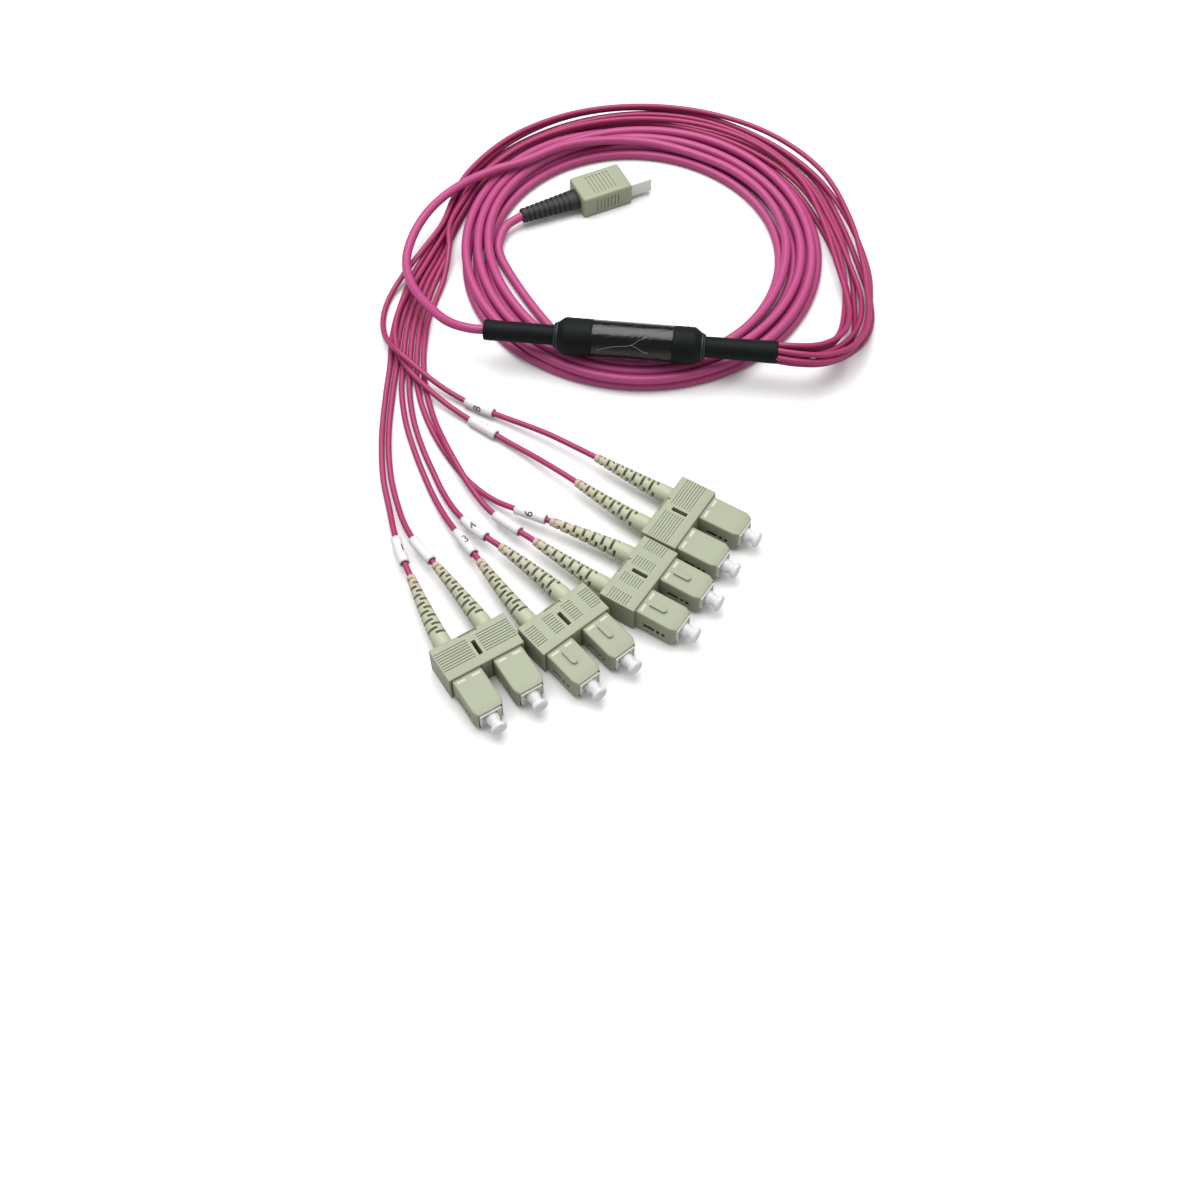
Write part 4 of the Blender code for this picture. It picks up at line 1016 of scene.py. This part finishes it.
def boot_finish():
    """Beige rubber that turns a little pinker towards the tip, by the mesh's own attribute."""
    finish = plastic("boot_rubber", (0.455, 0.475, 0.345), (0.42, 0.44, 0.315), 0.5, 1500.0, 0.03,
                     gloss=0.4)
    nodes, links = finish.node_tree.nodes, finish.node_tree.links
    share = nodes.new("ShaderNodeAttribute")
    share.attribute_name = "towards_tip"
    late = nodes.new("ShaderNodeMath")
    late.operation = "POWER"
    late.inputs[1].default_value = 3.0
    blush = colour_mix(nodes, (0.455, 0.475, 0.345), (0.51, 0.42, 0.32))
    links.new(share.outputs["Fac"], late.inputs[0])
    links.new(late.outputs["Value"], blush.inputs[0])
    links.new(nodes["drift"].outputs[2], blush.inputs[6])
    links.new(blush.outputs[2], nodes["Principled BSDF"].inputs["Base Color"])
    return finish


def boot_radius(x):
    share = min(1.0, max(0.0, (BOOT_FIRST_ROW + 1.5 - x) / (BOOT_FIRST_ROW + 1.5 - BOOT_TIP)))
    return BOOT_BASE_RADIUS + (BOOT_TIP_RADIUS - BOOT_BASE_RADIUS) * share


def boot_mesh(tag):
    """A straight boot drawn ring by ring, its slots pressed in, and then bent."""
    rings = [(BOOT_FRONT, BOOT_BASE_RADIUS - 0.1), (BOOT_FRONT - 0.1, BOOT_BASE_RADIUS),
             (-1.0, BOOT_BASE_RADIUS), (-3.4, boot_radius(-3.4))]
    rows = [BOOT_FIRST_ROW - BOOT_ROW_PITCH * k for k in range(BOOT_ROWS)]
    for row in rows:
        rings += [(row, boot_radius(row)), (row - BOOT_SLOT, boot_radius(row - BOOT_SLOT))]
    rings += [(BOOT_TIP + 0.2, BOOT_TIP_RADIUS), (BOOT_TIP, BOOT_TIP_RADIUS - 0.15),
              (BOOT_TIP, 1.0), (BOOT_TIP + 3.0, 0.98)]
    bm = bmesh.new()
    across = Matrix.Rotation(math.pi / 2, 4, "Y")
    start, radius = rings[0]
    bmesh.ops.create_circle(bm, cap_ends=True, segments=BOOT_SIDES, radius=radius,
                            matrix=Matrix.Translation((start, 0.0, 0.0)) @ across)
    edges = bm.edges[:]
    for (x0, r0), (x1, r1) in zip(rings, rings[1:]):
        corners, edges = grow_rim(bm, edges)
        bmesh.ops.scale(bm, vec=(1.0, r1 / r0, r1 / r0), verts=corners)
        bmesh.ops.translate(bm, vec=(x1 - x0, 0.0, 0.0), verts=corners)
    bmesh.ops.edgeloop_fill(bm, edges=edges)
    bmesh.ops.recalc_face_normals(bm, faces=bm.faces)
    for k, row in enumerate(rows):
        quarter = math.radians(BOOT_ROLL[tag] + 90 * (k % 2))
        for half in (0.0, math.pi):
            pressed = []
            for face in bm.faces:
                middle = face.calc_center_median()
                outer = math.hypot(middle.y, middle.z) > 1.1
                turn = math.atan2(middle.y, middle.z) - quarter - half
                if (outer and abs(middle.x - row + BOOT_SLOT / 2) < 0.1
                        and math.cos(turn) > math.cos(BOOT_SLOT_HALF_TURN)):
                    pressed.append(face)
            corners, _ = extrude_faces(bm, pressed, 1)
            radius = boot_radius(row)
            keep = max(BOOT_CORE, (radius - BOOT_SLOT_DEPTH) / radius)
            bmesh.ops.scale(bm, vec=(1.0, keep, keep), verts=corners)
    share = bm.verts.layers.float.new("towards_tip")
    for point in bm.verts:
        point[share] = min(1.0, max(0.0, (BOOT_COLLAR - point.co.x) / (BOOT_COLLAR - BOOT_TIP)))
        sway, slope = boot_sway(tag, point.co.x)
        point.co.x -= slope * point.co.y
        point.co.y += sway
    return bm


boot_rubber = boot_finish()
slot_shade = plastic("slot_shade", (0.085, 0.088, 0.058), (0.06, 0.062, 0.04), 0.6, 1500.0, 0.02)
for tag in BUNDLE_SEATS:
    add_piece("boot_slotted_" + tag, boot_mesh(tag), [boot_rubber, slot_shade],
                           "cable", on_connector(tag), 40.0)
    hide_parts("boot_" + tag)


# Far plug: a multi-fibre plug on the trunk's other end, lying inside the coil.  A beige
# sliding shell with finger grooves, a narrower nose with a flat ferrule, and a black boot.
PLUG_HEADING = math.radians(25.0)
PLUG_REACH = (20.3, 38.3)
PLUG_HALF = (6.2, 3.9)
GROOVE_ROWS = [25.0 + 1.3 * k for k in range(7)]
GROOVE_WIDTH = 0.55
GROOVE_HALF = (4.2, 2.2)
GROOVE_DEPTH = 0.35
NOSE_BLOCK = ((38.0, -4.8, -2.6), (46.3, 4.8, 2.6))
NOSE_RIM = 0.7
NOSE_HOLLOW = 1.6
FLAT_FERRULE = ((43.0, -3.2, -1.2), (46.2, 3.2, 1.2))


def on_plug():
    return (Matrix.Translation(spot(*TRUNK_TO_PLUG[-1])) @ Matrix.Rotation(PLUG_HEADING, 4, "Z")
            @ Matrix.Scale(MM, 4))


bm = bmesh.new()
back, front = PLUG_REACH
half_width, half_height = PLUG_HALF
add_block(bm, (back, -half_width, -half_height), (front, half_width, half_height))
round_edges(bm, bm.edges[:], 0.8, 4)
across, upright = ((-half, half) for half in GROOVE_HALF)
slice_at(bm, 0, [x for row in GROOVE_ROWS for x in (row, row + GROOVE_WIDTH)])
slice_at(bm, 1, across)
slice_at(bm, 2, upright)
for row in GROOVE_ROWS:
    groove = (row, row + GROOVE_WIDTH)
    for toward in (-1, 1):
        sink(bm, 2, toward * half_height, (groove, across), GROOVE_DEPTH)
        sink(bm, 1, toward * half_width, (groove, upright), GROOVE_DEPTH)
plug_shell = add_piece("far_plug_shell", bm, [housing_beige], "cable", on_plug())
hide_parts("trunk_plug")

bm = bmesh.new()
add_block(bm, *NOSE_BLOCK)
round_edges(bm, bm.edges[:], 0.35, 3)
inset_front(bm, NOSE_RIM)
# The nose's hollow gets the nearly black painted shade, and the flat ferrule's front face is
# nearly black as well.
sink(bm, 0, NOSE_BLOCK[1][0], ((-0.5, 0.5), (-0.5, 0.5)), NOSE_HOLLOW, finish=1)
add_block(bm, *FLAT_FERRULE)
for face in bm.faces:
    middle = face.calc_center_median()
    proud = middle.x > NOSE_BLOCK[1][0] - NOSE_HOLLOW + 0.01
    if proud and abs(middle.y) < 3.3 and abs(middle.z) < 1.3:
        face.material_index = 1
plug_nose = add_piece("far_plug_nose", bm, [frame_white, shade_black], "cable", on_plug())

plug_rubber = plastic("plug_rubber", (0.018, 0.018, 0.020), (0.026, 0.026, 0.028),
                      0.6, 2600.0, 0.03)
bm = bmesh.new()
across = Matrix.Translation((2.0, 0.0, 0.0)) @ Matrix.Rotation(math.pi / 2, 4, "Y")
bmesh.ops.create_circle(bm, cap_ends=True, segments=32, radius=1.6, matrix=across)
edges = bm.edges[:]
before = (2.0, 1.6, 1.6)
ribs = [(0.1, 1.6, 1.6), (0.0, 1.75, 1.75), (0.0, 2.25, 2.25), (0.25, 2.45, 2.45)]
for k in range(9):
    start = 1.5 + 1.8 * k
    wide = 2.45 + 1.45 * start / 20.0
    tall = 2.45 + 0.3 * start / 20.0
    ribs += [(start, wide, tall), (start, wide - 0.5, tall - 0.4),
             (start + 0.8, wide - 0.45, tall - 0.38), (start + 0.8, wide + 0.06, tall + 0.01)]
ribs += [(18.6, 3.8, 2.73), (20.0, 3.9, 2.75), (20.2, 3.8, 2.6)]
for after in ribs:
    corners, edges = grow_rim(bm, edges)
    bmesh.ops.scale(bm, vec=(1.0, after[1] / before[1], after[2] / before[2]), verts=corners)
    bmesh.ops.translate(bm, vec=(after[0] - before[0], 0.0, 0.0), verts=corners)
    before = after
bmesh.ops.edgeloop_fill(bm, edges=edges)
bmesh.ops.recalc_face_normals(bm, faces=bm.faces)
plug_boot = add_piece("far_plug_boot", bm, [plug_rubber], "cable", on_plug(), 40.0)
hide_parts("trunk_plug_boot")
